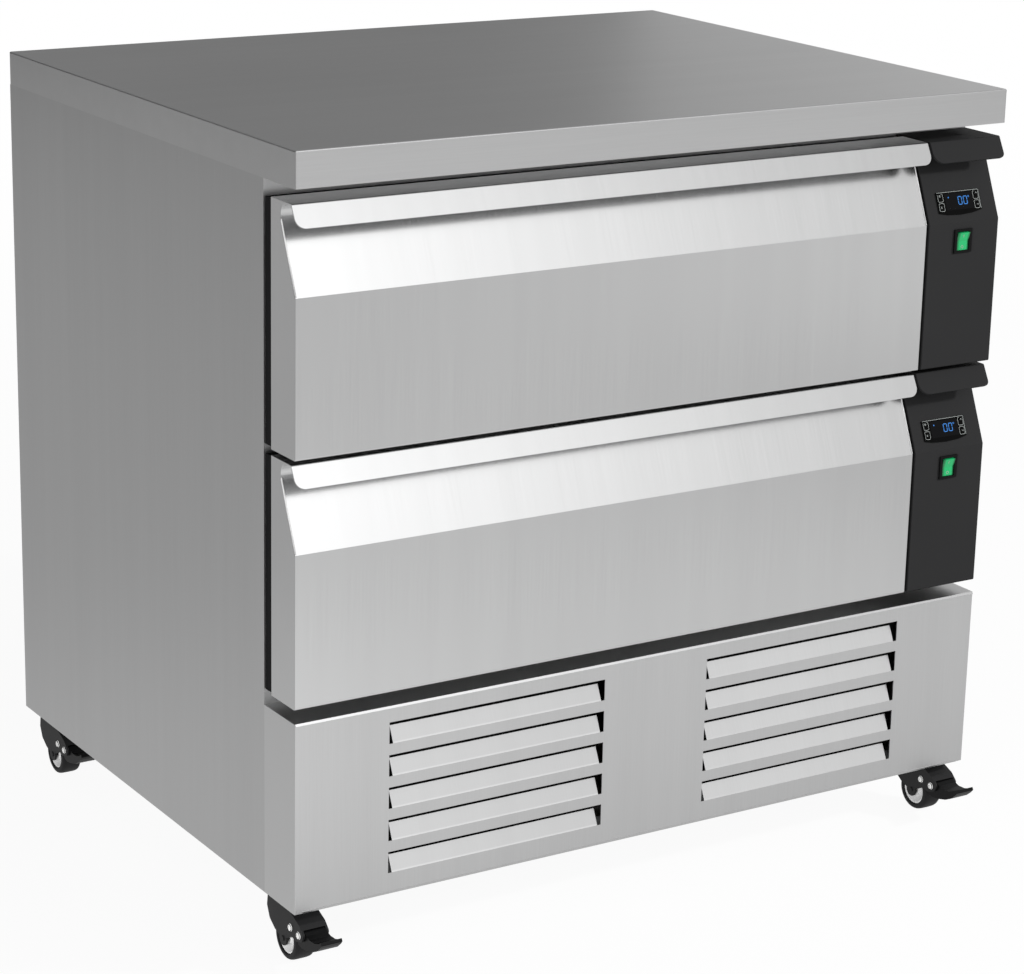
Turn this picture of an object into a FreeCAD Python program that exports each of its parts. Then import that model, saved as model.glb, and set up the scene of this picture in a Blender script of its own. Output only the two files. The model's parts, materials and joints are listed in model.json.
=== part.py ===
import FreeCAD, Part
import os
import re
import Sketcher
from math import sin, tan
from FreeCAD import Placement, Rotation, Vector

# Refrigerated drawer unit: a steel counter on casters with two insulated drawers.
# All sizes are millimetres. Sub-parts are drawn in cabinet coordinates: x from the left side,
# y back from the plane of the drawer fronts, z up from the floor. Each one's placement then
# moves it so that the origin lies on the floor under the middle of the whole unit.

# Driving dimensions, one row each: name, value, meaning.
DIMENSIONS = [
    ("width", 900, "overall width of the cabinet"),
    ("depth", 700, "worktop depth, front edge to back"),
    ("height", 875, "floor to the top of the worktop"),
    ("ground_gap", 70, "floor to the lower edge of the panels"),
    ("fascia", 38, "height of the worktop's front edge"),
    ("skin", 1.2, "thickness of folded steel sheet"),
    ("setback", 67, "face frame behind the plane of the fronts"),
    ("side_flange", 12, "width of the side panels' return flanges"),
    ("edge_round", 1.6, "outer radius of the worktop's bends"),
    ("vent_width", 150, "width of a vent slot in the back"),
    ("vent_slot", 6, "height of a vent slot"),
    ("vent_pitch", 15, "vent slot to vent slot"),
    ("vent_count", 7, "vent slots in each group"),
    ("vent_start", 60, "lowest vent slot above the panel's edge"),
    ("kick_height", 212, "height of the kick panel"),
    ("foot_gap", 15, "kick panel to the lower drawer front"),
    ("housing_width", 100, "width of a control housing"),
    ("panel_gap", 4, "drawer front to control housing"),
    ("front_gap", 6, "lower drawer front to upper drawer front"),
    ("head_gap", 16, "upper drawer front to the worktop"),
    ("front_depth", 51, "thickness of a drawer front"),
    ("front_skin", 1.5, "sheet thickness of a drawer front"),
    ("slant_height", 92.5, "height of a drawer front's upper part, from the bend"),
    ("slant_run", 38, "how far the upper part leans back"),
    ("plate_front", 8, "top plate's front edge behind the front plane"),
    ("lip_drop", 22.5, "height of the handle lip"),
    ("lip_reach", 12, "how far the lip leans forward as it goes down"),
    ("lip_round", 11, "corner radius of a drawer's lip"),
    ("grip_round", 14, "hollow radius under the top plate"),
    ("bend_round", 2, "outer radius of a sheet bend"),
    ("housing_wall", 3, "wall of the moulded control housing"),
    ("housing_round_left", 14, "left corner radius of the housing's lip"),
    ("housing_round_right", 6, "right corner radius of the housing's lip"),
    ("wall", 42, "drawer front's end to the opening beside it"),
    ("sill", 22, "drawer front's lower edge to the opening"),
    ("head", 30, "opening to the drawer front's upper edge"),
    ("back_foam", 42, "insulation behind a compartment"),
    ("floor_foam", 38, "insulation under the lower compartment"),
    ("fan_space", 50, "cooler's depth at the back of a compartment"),
    ("seal_inset", 2, "gasket's outer edge inside the front's edge"),
    ("seal_width", 15, "width of the gasket"),
    ("seal_base", 5, "thickness of the gasket's clip-in foot"),
    ("seal_step", 2, "how much narrower the foot is on each side"),
    ("seal_gap", 0.2, "gasket to face frame"),
    ("plug_depth", 30, "inner panel behind the drawer front"),
    ("plug_gap", 4, "inner panel to the sides of the opening"),
    ("plug_round", 8, "corner radius of the inner panel's plug"),
    ("box_back", 10.8, "drawer box to the cooler behind it"),
    ("box_room", 49, "drawer box's rim to the opening's upper edge"),
    ("box_lift", 8, "drawer box above the compartment floor"),
    ("box_skin", 1.2, "sheet thickness of the drawer box"),
    ("box_rim", 8, "width of the drawer box's outward rim"),
    ("rail_space", 14, "drawer box to compartment wall"),
    ("rail_sheet", 1.5, "sheet thickness of the runners"),
    ("rail_half", 22, "half height of the fixed runner"),
    ("rail_gap", 0.4, "play between nested runners"),
    ("rail_end", 5, "how much shorter a runner is than the drawer box"),
    ("rail_level", 62, "runner's middle above the box floor"),
    ("rail_start", 1, "runner behind the inner panel"),
    ("louvre_width", 270, "width of a louvre opening"),
    ("louvre_height", 24, "height of a louvre opening"),
    ("louvre_pitch", 36.6, "louvre to louvre"),
    ("louvre_count", 5, "louvres in each bank"),
    ("louvre_start", 23.5, "lowest opening above the panel's edge"),
    ("louvre_inset", 112, "bank of louvres from the panel's end"),
    ("louvre_play", 4.5, "tab's end to the side of its opening"),
    ("louvre_rise", 17.5, "height of a bent tab"),
    ("louvre_lean", 8, "how far a tab leans inward"),
    ("kick_lip", 12, "kick panel's lower return flange"),
    ("tray_lift", 6, "base tray above the panels' lower edge"),
    ("tray_front", 16, "base tray behind the kick panel"),
    ("tray_wall", 20, "height of the base tray's edge"),
    ("control_left", 16, "controller from the housing's left side"),
    ("control_width", 61, "width of the controller's bezel"),
    ("control_low", 12, "controller above the bend, along the slope"),
    ("control_height", 23.5, "height of the bezel at its ends"),
    ("control_bulge", 3.5, "how far the bezel's lower edge bulges"),
    ("control_proud", 1.6, "bezel in front of the housing"),
    ("module_inset", 3, "controller's body inside its bezel"),
    ("module_depth", 42, "controller's body behind the housing"),
    ("key_width", 4.6, "width of a key"),
    ("key_height", 5, "height of a key"),
    ("key_thick", 1.15, "thickness of a key"),
    ("key_proud", 0.35, "key in front of the bezel"),
    ("key_inset", 1.9, "key from the bezel's end"),
    ("key_low", 3.6, "lower key above the bezel's lower corner"),
    ("key_pitch", 13.2, "lower key to upper key"),
    ("key_play", 0.3, "key to the sides of its pocket"),
    ("key_pocket", 1.4, "depth of a key's pocket"),
    ("switch_left", 36, "switch bezel from the housing's left side"),
    ("switch_width", 25, "width of the switch bezel"),
    ("switch_height", 27, "height of the switch bezel"),
    ("switch_drop", 8, "switch bezel below the bend"),
    ("switch_proud", 2, "switch bezel in front of the housing"),
    ("switch_body", 20, "switch body behind the housing"),
    ("switch_rim", 2, "switch body inside its bezel"),
    ("rocker_width", 17, "width of the rocker"),
    ("rocker_half", 10.2, "half height of the rocker"),
    ("rocker_play", 0.3, "rocker to the sides of its window"),
    ("rocker_swing", 0.8, "rocker to its window's upper and lower edge"),
    ("rocker_pivot", 2, "rocker's pivot behind the housing's face"),
    ("rocker_nose", 4, "rocker's ends in front of its pivot"),
    ("rocker_dip", 2.5, "rocker's middle in front of its pivot"),
    ("rocker_tilt", 8, "rocker's tilt in degrees when switched on"),
    ("wheel_radius", 25, "caster wheel's radius"),
    ("wheel_width", 24, "caster wheel's width"),
    ("wheel_shoulder", 5, "tyre's shoulder radius"),
    ("rim_radius", 18, "radius of the wheel's white rim"),
    ("rim_recess", 1.5, "rim inside the tyre's face"),
    ("dish_outer", 16, "outer radius of the rim's dish"),
    ("dish_inner", 9, "inner radius of the rim's dish"),
    ("dish_depth", 4, "depth of the rim's dish"),
    ("hub_height", 2.5, "hub above the bottom of the dish"),
    ("axle_radius", 3, "axle's radius"),
    ("fit", 0.05, "radial play of a shaft in its hole"),
    ("cheek", 2.5, "thickness of a fork cheek"),
    ("cheek_gap", 1, "wheel to fork cheek"),
    ("fork_top", 65, "fork's top above the floor"),
    ("fork_web", 10, "thickness of the fork's top"),
    ("fork_eye", 8, "radius of the fork's lower end"),
    ("fork_round", 4, "corner radius of the fork's outline"),
    ("hood", 3, "thickness of the fork's front hood"),
    ("fork_back", 34, "fork's back edge behind the wheel centre"),
    ("fork_front", 46, "fork's front edge before the wheel centre"),
    ("trail", 20, "swivel axis behind the wheel centre"),
    ("swivel_radius", 16, "radius of the swivel head"),
    ("swivel_gap", 0.3, "swivel head to caster plate"),
    ("race_height", 3, "height of the plate's ball race"),
    ("plate_size", 42, "side of a caster's top plate"),
    ("plate_thick", 2.5, "thickness of a caster's top plate"),
    ("kingpin_radius", 5, "king pin's radius"),
    ("caster_x", 24, "wheel's middle from the cabinet's side"),
    ("caster_front", 42, "front wheel centre behind the front plane"),
    ("caster_back", 58, "rear wheel centre before the back"),
    ("pedal_y", 35, "pedal's pivot before the wheel centre"),
    ("pedal_z", 42, "pedal's pivot above the floor"),
    ("pedal_reach", 80, "pedal's tip before the wheel centre"),
    ("pedal_play", 0.5, "pedal to fork cheek"),
    ("pedal_pin", 2.5, "radius of the pedal's pin"),
    ("pedal_round", 1.5, "corner radius of the pedal's outline"),
    ("boss_radius", 4, "radius of the bright rivet heads"),
    ("boss_height", 1.2, "height of the bright rivet heads"),
    ("coil_half", 130, "half width of a condenser"),
    ("coil_front", 34, "condenser behind the front plane"),
    ("coil_depth", 36, "depth of a condenser"),
    ("coil_height", 182, "height of a condenser"),
    ("fin_pitch", 13, "fin to fin on the coils"),
    ("fin_thick", 1, "thickness of a fin"),
    ("tube_radius", 4, "radius of a coil's tubes"),
    ("shroud_depth", 34, "depth of a condenser's fan shroud"),
    ("fan_radius", 78, "radius of a condenser fan"),
    ("cooler_fan_radius", 62, "radius of a cooler's fan"),
    ("fan_play", 5, "fan's tip to its ring"),
    ("fan_hub", 20, "radius of a fan's hub"),
    ("fan_blade", 14, "depth of a fan's hub and blades"),
    ("blade_thick", 2, "thickness of a fan blade"),
    ("blade_pitch", 24, "pitch angle of a fan blade, in degrees"),
    ("motor_radius", 30, "radius of a fan motor"),
    ("motor_depth", 24, "depth of a fan motor"),
    ("shaft_radius", 3, "radius of a fan's shaft"),
    ("shell_radius", 66, "radius of a compressor's shell"),
    ("shell_height", 150, "height of a compressor's shell"),
    ("shell_y", 330, "compressor's axis behind the front plane"),
    ("shell_lift", 14, "compressor's shell above the base tray"),
    ("line_radius", 4, "radius of the refrigerant lines"),
]

# Sizes that follow from the driving dimensions: name, formula, meaning.
TIED = [
    ("drawer_width", "=width - housing_width - panel_gap", "width of a drawer front"),
    ("front_height", "=(height - fascia - head_gap - front_gap - ground_gap - kick_height - foot_gap) / 2",
     "height of a drawer front"),
    ("drawer_pitch", "=front_height + front_gap", "lower drawer to upper drawer"),
    ("bend_height", "=front_height - slant_height", "upright part of a drawer front"),
    ("box_height", "=front_height - sill - head - box_lift - box_room", "height of the drawer box"),
    ("box_length", "=depth - skin - back_foam - fan_space - box_back - front_depth - plug_depth",
     "depth of the drawer box"),
    ("rail_length", "=box_length - rail_end", "length of a runner"),
]

NAMES = {name for name, value, meaning in DIMENSIONS + TIED}

doc = FreeCAD.newDocument("drawer_unit")
dim = doc.addObject("Spreadsheet::Sheet", "Dim")
for row, (name, value, meaning) in enumerate(DIMENSIONS + TIED, start=1):
    dim.set(f"A{row}", name)
    dim.set(f"B{row}", str(value))
    dim.setAlias(f"B{row}", name)
    dim.set(f"C{row}", meaning)
doc.recompute()

NODES = {}

# Places worked out from the driving dimensions, as size texts.
SHIFT_X = "-width / 2"
SHIFT_Y = "-(depth + caster_front - pedal_reach) / 2"
SHIFT = (SHIFT_X, SHIFT_Y, "0")
FRAME_BOTTOM = "(ground_gap + kick_height - side_flange)"
WORKTOP_BOTTOM = "(height - fascia)"
CAVITY_BACK = "(depth - skin - back_foam)"
HOUSING_LEFT = "(drawer_width + panel_gap)"
FOAM_BOTTOM = "(ground_gap + kick_height + foot_gap + sill - skin - floor_foam)"
TRAY_TOP = "(ground_gap + tray_lift + skin)"
BANK_CENTRES = ("(louvre_inset + louvre_width / 2)", "(width - louvre_inset - louvre_width / 2)")
LEVELS = {"lower": "(ground_gap + kick_height + foot_gap)",
          "upper": "(ground_gap + kick_height + foot_gap + drawer_pitch)"}


def sized(text):
    """The text with every dimension's name pointing at its cell."""
    return re.sub(r"[a-z_]+", lambda m: "Dim." + m.group() if m.group() in NAMES else m.group(), str(text))


def number(text):
    """The present value of a size text."""
    return float(dim.evalExpression(sized(text)))


def bind(item, prop, text):
    """Tie one property of an object to a size text."""
    item.setExpression(prop, sized(text))


def move(item, place):
    """Tie an object's position to three size texts."""
    for axis, text in zip("xyz", place):
        bind(item, f"Placement.Base.{axis}", text)
    return item


def turn(item, axis, text):
    """Turn an object about an axis by an angle in degrees."""
    item.Placement = Placement(Vector(), Rotation(Vector(*axis), number(text)))
    bind(item, "Placement.Rotation.Angle", text)
    return item


def plus(*places):
    """The sum of several places, coordinate by coordinate."""
    return tuple(" + ".join(f"({text})" for text in column) for column in zip(*places))


def box(name, corner, size):
    """A block from its lowest corner and its three lengths."""
    item = doc.addObject("Part::Box", name)
    for prop, text in zip(("Length", "Width", "Height"), size):
        bind(item, prop, text)
    return move(item, corner)


AXES = {"X": Rotation(Vector(0, 1, 0), 90), "Y": Rotation(Vector(1, 0, 0), -90), "Z": Rotation()}


def rod(name, axis, start, radius, length):
    """A round bar along an axis from the middle of its first end."""
    item = doc.addObject("Part::Cylinder", name)
    bind(item, "Radius", radius)
    bind(item, "Height", length)
    item.Placement = Placement(Vector(), AXES[axis])
    return move(item, start)


def fuse(name, items):
    """One solid out of several that touch or overlap."""
    item = doc.addObject("Part::MultiFuse", name)
    item.Shapes = items
    item.Refine = True
    return item


def cut(name, base, tools):
    """A solid less one or more others."""
    item = doc.addObject("Part::Cut", name)
    item.Base = base
    item.Tool = tools[0] if len(tools) == 1 else fuse(name + "_tools", tools)
    item.Refine = True
    return item


def group(name, items):
    """Several separate solids kept together."""
    item = doc.addObject("Part::Compound", name)
    item.Links = items
    return item


def keep(label, item, place=SHIFT):
    """Name a sub-part and put it in the unit's own frame."""
    item.Label = label
    move(item, place)
    NODES[label] = item
    return item


def new_body(name):
    return doc.addObject("PartDesign::Body", name)


def sketch(body, name, role, offset="0"):
    """A sketch on one of the body's own planes, moved along the plane's normal."""
    item = body.newObject("Sketcher::SketchObject", name)
    plane = next(f for f in body.Origin.OriginFeatures if f.Role == role)
    item.AttachmentSupport = (plane, "")
    item.MapMode = "FlatFace"
    bind(item, "AttachmentOffset.Base.z", offset)
    return item


def place_point(item, line, across, along):
    """Tie the start of a line to a pair of size texts."""
    for kind, text, axis in (("DistanceX", across, -2), ("DistanceY", along, -1)):
        if text == "0":
            item.addConstraint(Sketcher.Constraint("PointOnObject", line, 1, axis))
            continue
        index = item.addConstraint(Sketcher.Constraint(kind, -1, 1, line, 1, number(text)))
        bind(item, f"Constraints[{index}]", text)


def outline(item, corners):
    """A closed chain of straight edges through corners given as pairs of size texts."""
    points = [Vector(number(across), number(along), 0) for across, along in corners]
    first = item.GeometryCount
    count = len(points)
    for i in range(count):
        item.addGeometry(Part.LineSegment(points[i], points[(i + 1) % count]), False)
    for i in range(count):
        item.addConstraint(Sketcher.Constraint("Coincident", first + i, 2, first + (i + 1) % count, 1))
    for i, (across, along) in enumerate(corners):
        place_point(item, first + i, across, along)


def rectangle(item, low, high):
    """An upright rectangle between two opposite corners."""
    outline(item, [low, (high[0], low[1]), high, (low[0], high[1])])


def hole(item, across, along, radius):
    """A circle about a point given as size texts."""
    centre = Vector(number(across), number(along), 0)
    circle = item.addGeometry(Part.Circle(centre, Vector(0, 0, 1), number(radius)), False)
    for kind, text, axis in (("DistanceX", across, -2), ("DistanceY", along, -1)):
        if text == "0":
            item.addConstraint(Sketcher.Constraint("PointOnObject", circle, 3, axis))
            continue
        index = item.addConstraint(Sketcher.Constraint(kind, -1, 1, circle, 3, number(text)))
        bind(item, f"Constraints[{index}]", text)
    index = item.addConstraint(Sketcher.Constraint("Radius", circle, number(radius)))
    bind(item, f"Constraints[{index}]", radius)


def pad(body, profile, length, midplane=False, back=False):
    """Material along the sketch's normal, or against it."""
    item = body.newObject("PartDesign::Pad", profile.Name + "_pad")
    item.Profile = profile
    item.Midplane = midplane
    item.Reversed = back
    bind(item, "Length", length)
    doc.recompute()
    return item


def pocket(body, profile, length, midplane=False, back=False):
    """A cut along the sketch's normal, or against it."""
    item = body.newObject("PartDesign::Pocket", profile.Name + "_pocket")
    item.Profile = profile
    item.Midplane = midplane
    item.Reversed = not back
    bind(item, "Length", length)
    doc.recompute()
    return item


def edge_near(shape, point):
    """The name of the edge whose middle lies closest to a point."""
    def distance(edge):
        middle = edge.valueAt((edge.FirstParameter + edge.LastParameter) / 2)
        return middle.distanceToPoint(point)
    edges = shape.Edges
    return f"Edge{1 + min(range(len(edges)), key=lambda i: distance(edges[i]))}"


def soften(body, places, radius):
    """A fillet on the edges whose middles lie nearest to the given places."""
    base = body.Tip
    names = [edge_near(base.Shape, Vector(*[number(text) for text in place])) for place in places]
    item = body.newObject("PartDesign::Fillet", f"{body.Name}_round")
    item.Base = (base, names)
    bind(item, "Radius", radius)
    doc.recompute()
    return item


def shell(name, corner, size, wall, open_side):
    """A box of sheet with one side open: front, back, top or bottom."""
    x, y, z = corner
    width, depth, height = size
    inner_corner = [f"{x} + {wall}", f"{y} + {wall}", f"{z} + {wall}"]
    inner_size = [f"{width} - 2 * {wall}", f"{depth} - 2 * {wall}", f"{height} - 2 * {wall}"]
    axis, low_end = {"front": (1, True), "back": (1, False), "bottom": (2, True), "top": (2, False)}[open_side]
    inner_size[axis] = f"{size[axis]} - {wall} + {wall}"
    if low_end:
        inner_corner[axis] = f"{corner[axis]} - {wall}"
    outer = box(name + "_outer", corner, size)
    inner = box(name + "_inner", inner_corner, inner_size)
    return cut(name, outer, [inner])


# Cabinet shell


def worktop():
    """Folded top with a deep front edge, closed underneath in front of the face frame."""
    body = new_body("worktop")
    plan = sketch(body, "worktop_plan", "XY_Plane", WORKTOP_BOTTOM)
    rectangle(plan, ("0", "0"), ("width", "depth"))
    pad(body, plan, "fascia")
    rim = [("width / 2", "0", "height"), ("width / 2", "depth", "height"), ("0", "depth / 2", "height"),
           ("width", "depth / 2", "height")]
    corners = [(x, y, "height - fascia / 2") for x in ("0", "width") for y in ("0", "depth")]
    soften(body, rim + corners, "edge_round")
    for name, level, front in (("worktop_hollow", f"{WORKTOP_BOTTOM} + skin", "skin"),
                               ("worktop_open", WORKTOP_BOTTOM, "setback + skin")):
        inside = sketch(body, name, "XY_Plane", level)
        rectangle(inside, ("skin", front), ("width - skin", "depth - skin"))
        pocket(body, inside, f"height - skin - ({level})")
    keep("worktop", body)


def side_panel(label, mirrored):
    """Side skin with return flanges at the front, the back and the lower edge. The flanges stop
    short of the base tray and of the caster plates."""
    def side(text):
        return f"width - ({text})" if mirrored else text
    body = new_body(label)
    profile = sketch(body, label + "_section", "XY_Plane", "ground_gap")
    outline(profile, [(side("0") if mirrored else "0", "setback"), (side("side_flange"), "setback"),
                      (side("side_flange"), "setback + skin"), (side("skin"), "setback + skin"),
                      (side("skin"), "depth - skin"), (side("side_flange"), "depth - skin"),
                      (side("side_flange"), "depth"), (side("0") if mirrored else "0", "depth")])
    pad(body, profile, f"{WORKTOP_BOTTOM} - ground_gap")
    relief = sketch(body, label + "_relief", "XY_Plane", "ground_gap")
    rectangle(relief, (side("skin"), "setback - skin"), (side("2 * side_flange"), "setback + 2 * skin"))
    pocket(body, relief, "tray_lift + tray_wall", back=False)
    foot = sketch(body, label + "_foot", "XY_Plane", "ground_gap")
    rectangle(foot, (side("0") if mirrored else "0", "caster_front + trail + plate_size / 2 + skin"),
              (side("side_flange"), "depth - caster_back + trail - plate_size / 2 - skin"))
    pad(body, foot, "skin")
    keep(label, body)


def back_panel():
    """Back skin with two groups of vent slots and the collar that the supply lead comes through."""
    body = new_body("back_plate")
    plate = sketch(body, "back_plate_outline", "XZ_Plane", "skin - depth")
    rectangle(plate, ("side_flange", "ground_gap"), ("width - side_flange", WORKTOP_BOTTOM))
    pad(body, plate, "skin", back=True)
    for number_, centre in enumerate(BANK_CENTRES):
        slot = sketch(body, f"vent_{number_}", "XZ_Plane", "2 * skin - depth")
        rectangle(slot, (f"{centre} - vent_width / 2", "ground_gap + vent_start"),
                  (f"{centre} + vent_width / 2", "ground_gap + vent_start + vent_slot"))
        opening = pocket(body, slot, "3 * skin", back=True)
        row = body.newObject("PartDesign::LinearPattern", f"vent_row_{number_}")
        row.Originals = [opening]
        row.Direction = (slot, ["V_Axis"])
        bind(row, "Length", "vent_pitch * (vent_count - 1)")
        bind(row, "Occurrences", "vent_count")
        body.Tip = row
        doc.recompute()
    place = ("width - 4 * side_flange", "depth - 8 * skin", "ground_gap + kick_height / 2")
    collar = rod("gland_collar", "Y", place, "2 * shaft_radius + 8 * skin", "8 * skin")
    bore = rod("gland_bore", "Y", plus(place, ("0", "-skin", "0")), "2 * shaft_radius + 4 * skin", "10 * skin")
    keep("back_panel", cut("back_panel", fuse("back_with_collar", [body, collar]), [bore]))


def front_frame():
    """Face frame with one opening per drawer."""
    plate = box("frame_plate", ("side_flange", "setback", FRAME_BOTTOM),
                ("width - 2 * side_flange", "skin", f"{WORKTOP_BOTTOM} - {FRAME_BOTTOM}"))
    openings = [box(f"frame_opening_{level}", ("wall", "setback - skin", f"{base} + sill"),
                    ("drawer_width - 2 * wall", "3 * skin", "front_height - sill - head"))
                for level, base in LEVELS.items()]
    keep("front_frame", cut("front_frame", plate, openings))


def liner_place(base, grow):
    """Corner and size of a compartment, grown by some sheet on every closed side."""
    corner = (f"(wall - {grow})", "(setback + skin)", f"({base} + sill - {grow})")
    size = (f"(drawer_width - 2 * wall + 2 * {grow})", f"({CAVITY_BACK} + {grow} - setback - skin)",
            f"(front_height - sill - head + 2 * {grow})")
    return corner, size


def liners():
    """One folded lining per compartment, open to the drawer."""
    linings = []
    for level, base in LEVELS.items():
        corner, size = liner_place(base, "skin")
        linings.append(shell(f"liner_{level}", corner, size, "skin", "front"))
    keep("liners", group("liners", linings))


def insulation_foam():
    """One foamed block that fills the space between skins and liners."""
    block = box("foam_block", ("skin", "setback + skin", FOAM_BOTTOM),
                ("width - 2 * skin", "depth - setback - 2 * skin", f"height - skin - {FOAM_BOTTOM}"))
    hollows = []
    for level, base in LEVELS.items():
        corner, size = liner_place(base, "skin")
        hollows.append(box(f"foam_hollow_{level}", plus(corner, ("0", "-skin", "0")), plus(size, ("0", "skin", "0"))))
    keep("insulation_foam", cut("insulation_foam", block, hollows))


def base_tray():
    """Floor of the machine compartment."""
    keep("base_tray", shell("base_tray", ("skin", "tray_front", "(ground_gap + tray_lift)"),
                            ("(width - 2 * skin)", "(depth - skin - tray_front)", "tray_wall"), "skin", "top"))


def kick_panel():
    """Louvred lower panel that wraps both corners. Each tab stays joined along its lower edge and
    leans inward, so that its opening shows at the top and at both ends."""
    body = new_body("kick_panel")
    section = sketch(body, "kick_section", "XY_Plane", "ground_gap")
    outline(section, [("0", "0"), ("width", "0"), ("width", "setback"), ("width - skin", "setback"),
                      ("width - skin", "skin"), ("skin", "skin"), ("skin", "setback"), ("0", "setback")])
    pad(body, section, "kick_height")
    soften(body, [(x, "0", "ground_gap + kick_height / 2") for x in ("0", "width")], "skin")
    for name, level, reach in (("kick_shelf", "ground_gap + kick_height - skin", "setback"),
                               ("kick_foot", "ground_gap", "kick_lip")):
        flange = sketch(body, name, "XY_Plane", level)
        rectangle(flange, ("skin / 2", "skin / 2"), ("width - skin / 2", reach))
        pad(body, flange, "skin")
    low = "(ground_gap + louvre_start)"
    for number_, centre in enumerate(BANK_CENTRES):
        window = sketch(body, f"louvre_window_{number_}", "XZ_Plane", "skin")
        rectangle(window, (f"{centre} - louvre_width / 2", low),
                  (f"{centre} + louvre_width / 2", f"{low} + louvre_height"))
        opening = pocket(body, window, "3 * skin", back=True)
        tab_profile = sketch(body, f"louvre_tab_{number_}", "YZ_Plane", f"{centre} - louvre_width / 2 + louvre_play")
        outline(tab_profile, [("0", low), ("skin", low), ("skin + louvre_lean", f"{low} + louvre_rise - skin / 2"),
                              ("louvre_lean", f"{low} + louvre_rise")])
        tab = pad(body, tab_profile, "louvre_width - 2 * louvre_play")
        row = body.newObject("PartDesign::LinearPattern", f"louvre_row_{number_}")
        row.Originals = [opening, tab]
        row.Direction = (tab_profile, ["V_Axis"])
        bind(row, "Length", "louvre_pitch * (louvre_count - 1)")
        bind(row, "Occurrences", "louvre_count")
        body.Tip = row
        doc.recompute()
    keep("kick_panel", body)


# Drawer fronts and control housings share one section.

LIP = "sqrt(lip_reach ^ 2 + lip_drop ^ 2)"


def front_section(base, thick, back):
    """The section of a front: upright face, slope leaning back, top plate and forward lip."""
    top = f"({base} + front_height)"
    under = f"({top} - {thick})"
    slide = f"({thick} * ({LIP} - lip_reach) / lip_drop)"
    return [(back, base), ("0", base), ("0", f"{base} + bend_height"), ("slant_run", under),
            (f"plate_front + {thick} * lip_drop / {LIP} - {slide} * lip_reach / {LIP}", under),
            (f"plate_front - lip_reach + {thick} * lip_drop / {LIP}", f"{top} - lip_drop - {thick} * lip_reach / {LIP}"),
            ("plate_front - lip_reach", f"{top} - lip_drop"), ("plate_front", top), (back, top)]


def hollow_section(base, thick, back):
    """The space inside that section, one wall thickness in from each face."""
    rise = f"(front_height - {thick} - bend_height)"
    shift = f"({thick} * sqrt(slant_run ^ 2 + {rise} ^ 2) / {rise})"
    under = f"{base} + front_height - {thick}"
    return [(back, f"{base} + {thick}"), (thick, f"{base} + {thick}"),
            (thick, f"{base} + bend_height + ({thick} - {shift}) * {rise} / slant_run"),
            (f"slant_run + {shift}", under), (back, under)]


def front_shell(name, base, left, wide, thick, back, rounds):
    """A hollow front with closed ends and its handle lip, open at the back."""
    body = new_body(name)
    section = sketch(body, name + "_section", "YZ_Plane", left)
    corners = front_section(base, thick, back)
    outline(section, corners)
    pad(body, section, wide)
    middle = f"{left} + ({wide}) / 2"
    soften(body, [(middle, "slant_run", corners[3][1])], "grip_round")
    lip_y, lip_z = [f"(({corners[5][i]}) + ({corners[6][i]})) / 2" for i in range(2)]
    for x, radius in zip((left, f"{left} + {wide}"), rounds):
        soften(body, [(x, lip_y, lip_z)], radius)
    soften(body, [(middle, "0", base), (middle, "plate_front", f"{base} + front_height")], "bend_round")
    ends = [(x, y, z) for x in (left, f"{left} + {wide}")
            for y, z in (("0", f"{base} + bend_height / 2"), ("slant_run / 3", f"{base} + bend_height + slant_height / 3"))]
    soften(body, ends, "edge_round / 2")
    hollow = sketch(body, name + "_hollow", "YZ_Plane", f"{left} + {thick}")
    outline(hollow, hollow_section(base, thick, f"{back} + {thick}"))
    pocket(body, hollow, f"{wide} - 2 * {thick}")
    return body


def drawer_fronts():
    for level, base in LEVELS.items():
        body = front_shell(f"drawer_front_{level}", base, "0", "drawer_width", "front_skin", "front_depth",
                           ("lip_round", "lip_round"))
        keep(f"drawer_front_{level}", body)


def inner_panels():
    """Insulated core of each front, with the plug that enters the opening."""
    for level, base in LEVELS.items():
        name = f"drawer_inner_panel_{level}"
        body = new_body(name)
        core = sketch(body, name + "_core", "YZ_Plane", "front_skin")
        outline(core, hollow_section(base, "front_skin", "front_depth"))
        pad(body, core, "drawer_width - 2 * front_skin")
        plug = sketch(body, name + "_plug", "XZ_Plane", "-front_depth")
        rectangle(plug, ("wall + plug_gap", f"{base} + sill + plug_gap"),
                  ("drawer_width - wall - plug_gap", f"{base} + front_height - head - plug_gap"))
        pad(body, plug, "plug_depth", back=True)
        corners = [(x, "front_depth + plug_depth / 2", z) for x in ("wall + plug_gap", "drawer_width - wall - plug_gap")
                   for z in (f"{base} + sill + plug_gap", f"{base} + front_height - head - plug_gap")]
        soften(body, corners, "plug_round")
        keep(name, body)


def ring(name, base, inset, wide, start, length):
    """A rectangular ring that follows the edge of a drawer front."""
    outer = box(name + "_outer", (inset, start, f"{base} + {inset}"),
                (f"drawer_width - 2 * {inset}", length, f"front_height - 2 * {inset}"))
    inner = box(name + "_inner", (f"{inset} + {wide}", f"{start} - skin", f"{base} + {inset} + {wide}"),
                (f"drawer_width - 2 * ({inset} + {wide})", f"{length} + 2 * skin",
                 f"front_height - 2 * ({inset} + {wide})"))
    return cut(name, outer, [inner])


def gaskets():
    """Magnetic gasket: a narrow foot on the front and a wider bulb that meets the frame."""
    for level, base in LEVELS.items():
        name = f"drawer_gasket_{level}"
        foot = ring(name + "_foot", base, "(seal_inset + seal_step)", "(seal_width - 2 * seal_step)",
                    "front_depth", "seal_base")
        bulb = ring(name + "_bulb", base, "seal_inset", "seal_width", "(front_depth + seal_base)",
                    "(setback - seal_gap - front_depth - seal_base)")
        keep(name, fuse(name, [foot, bulb]))


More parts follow.
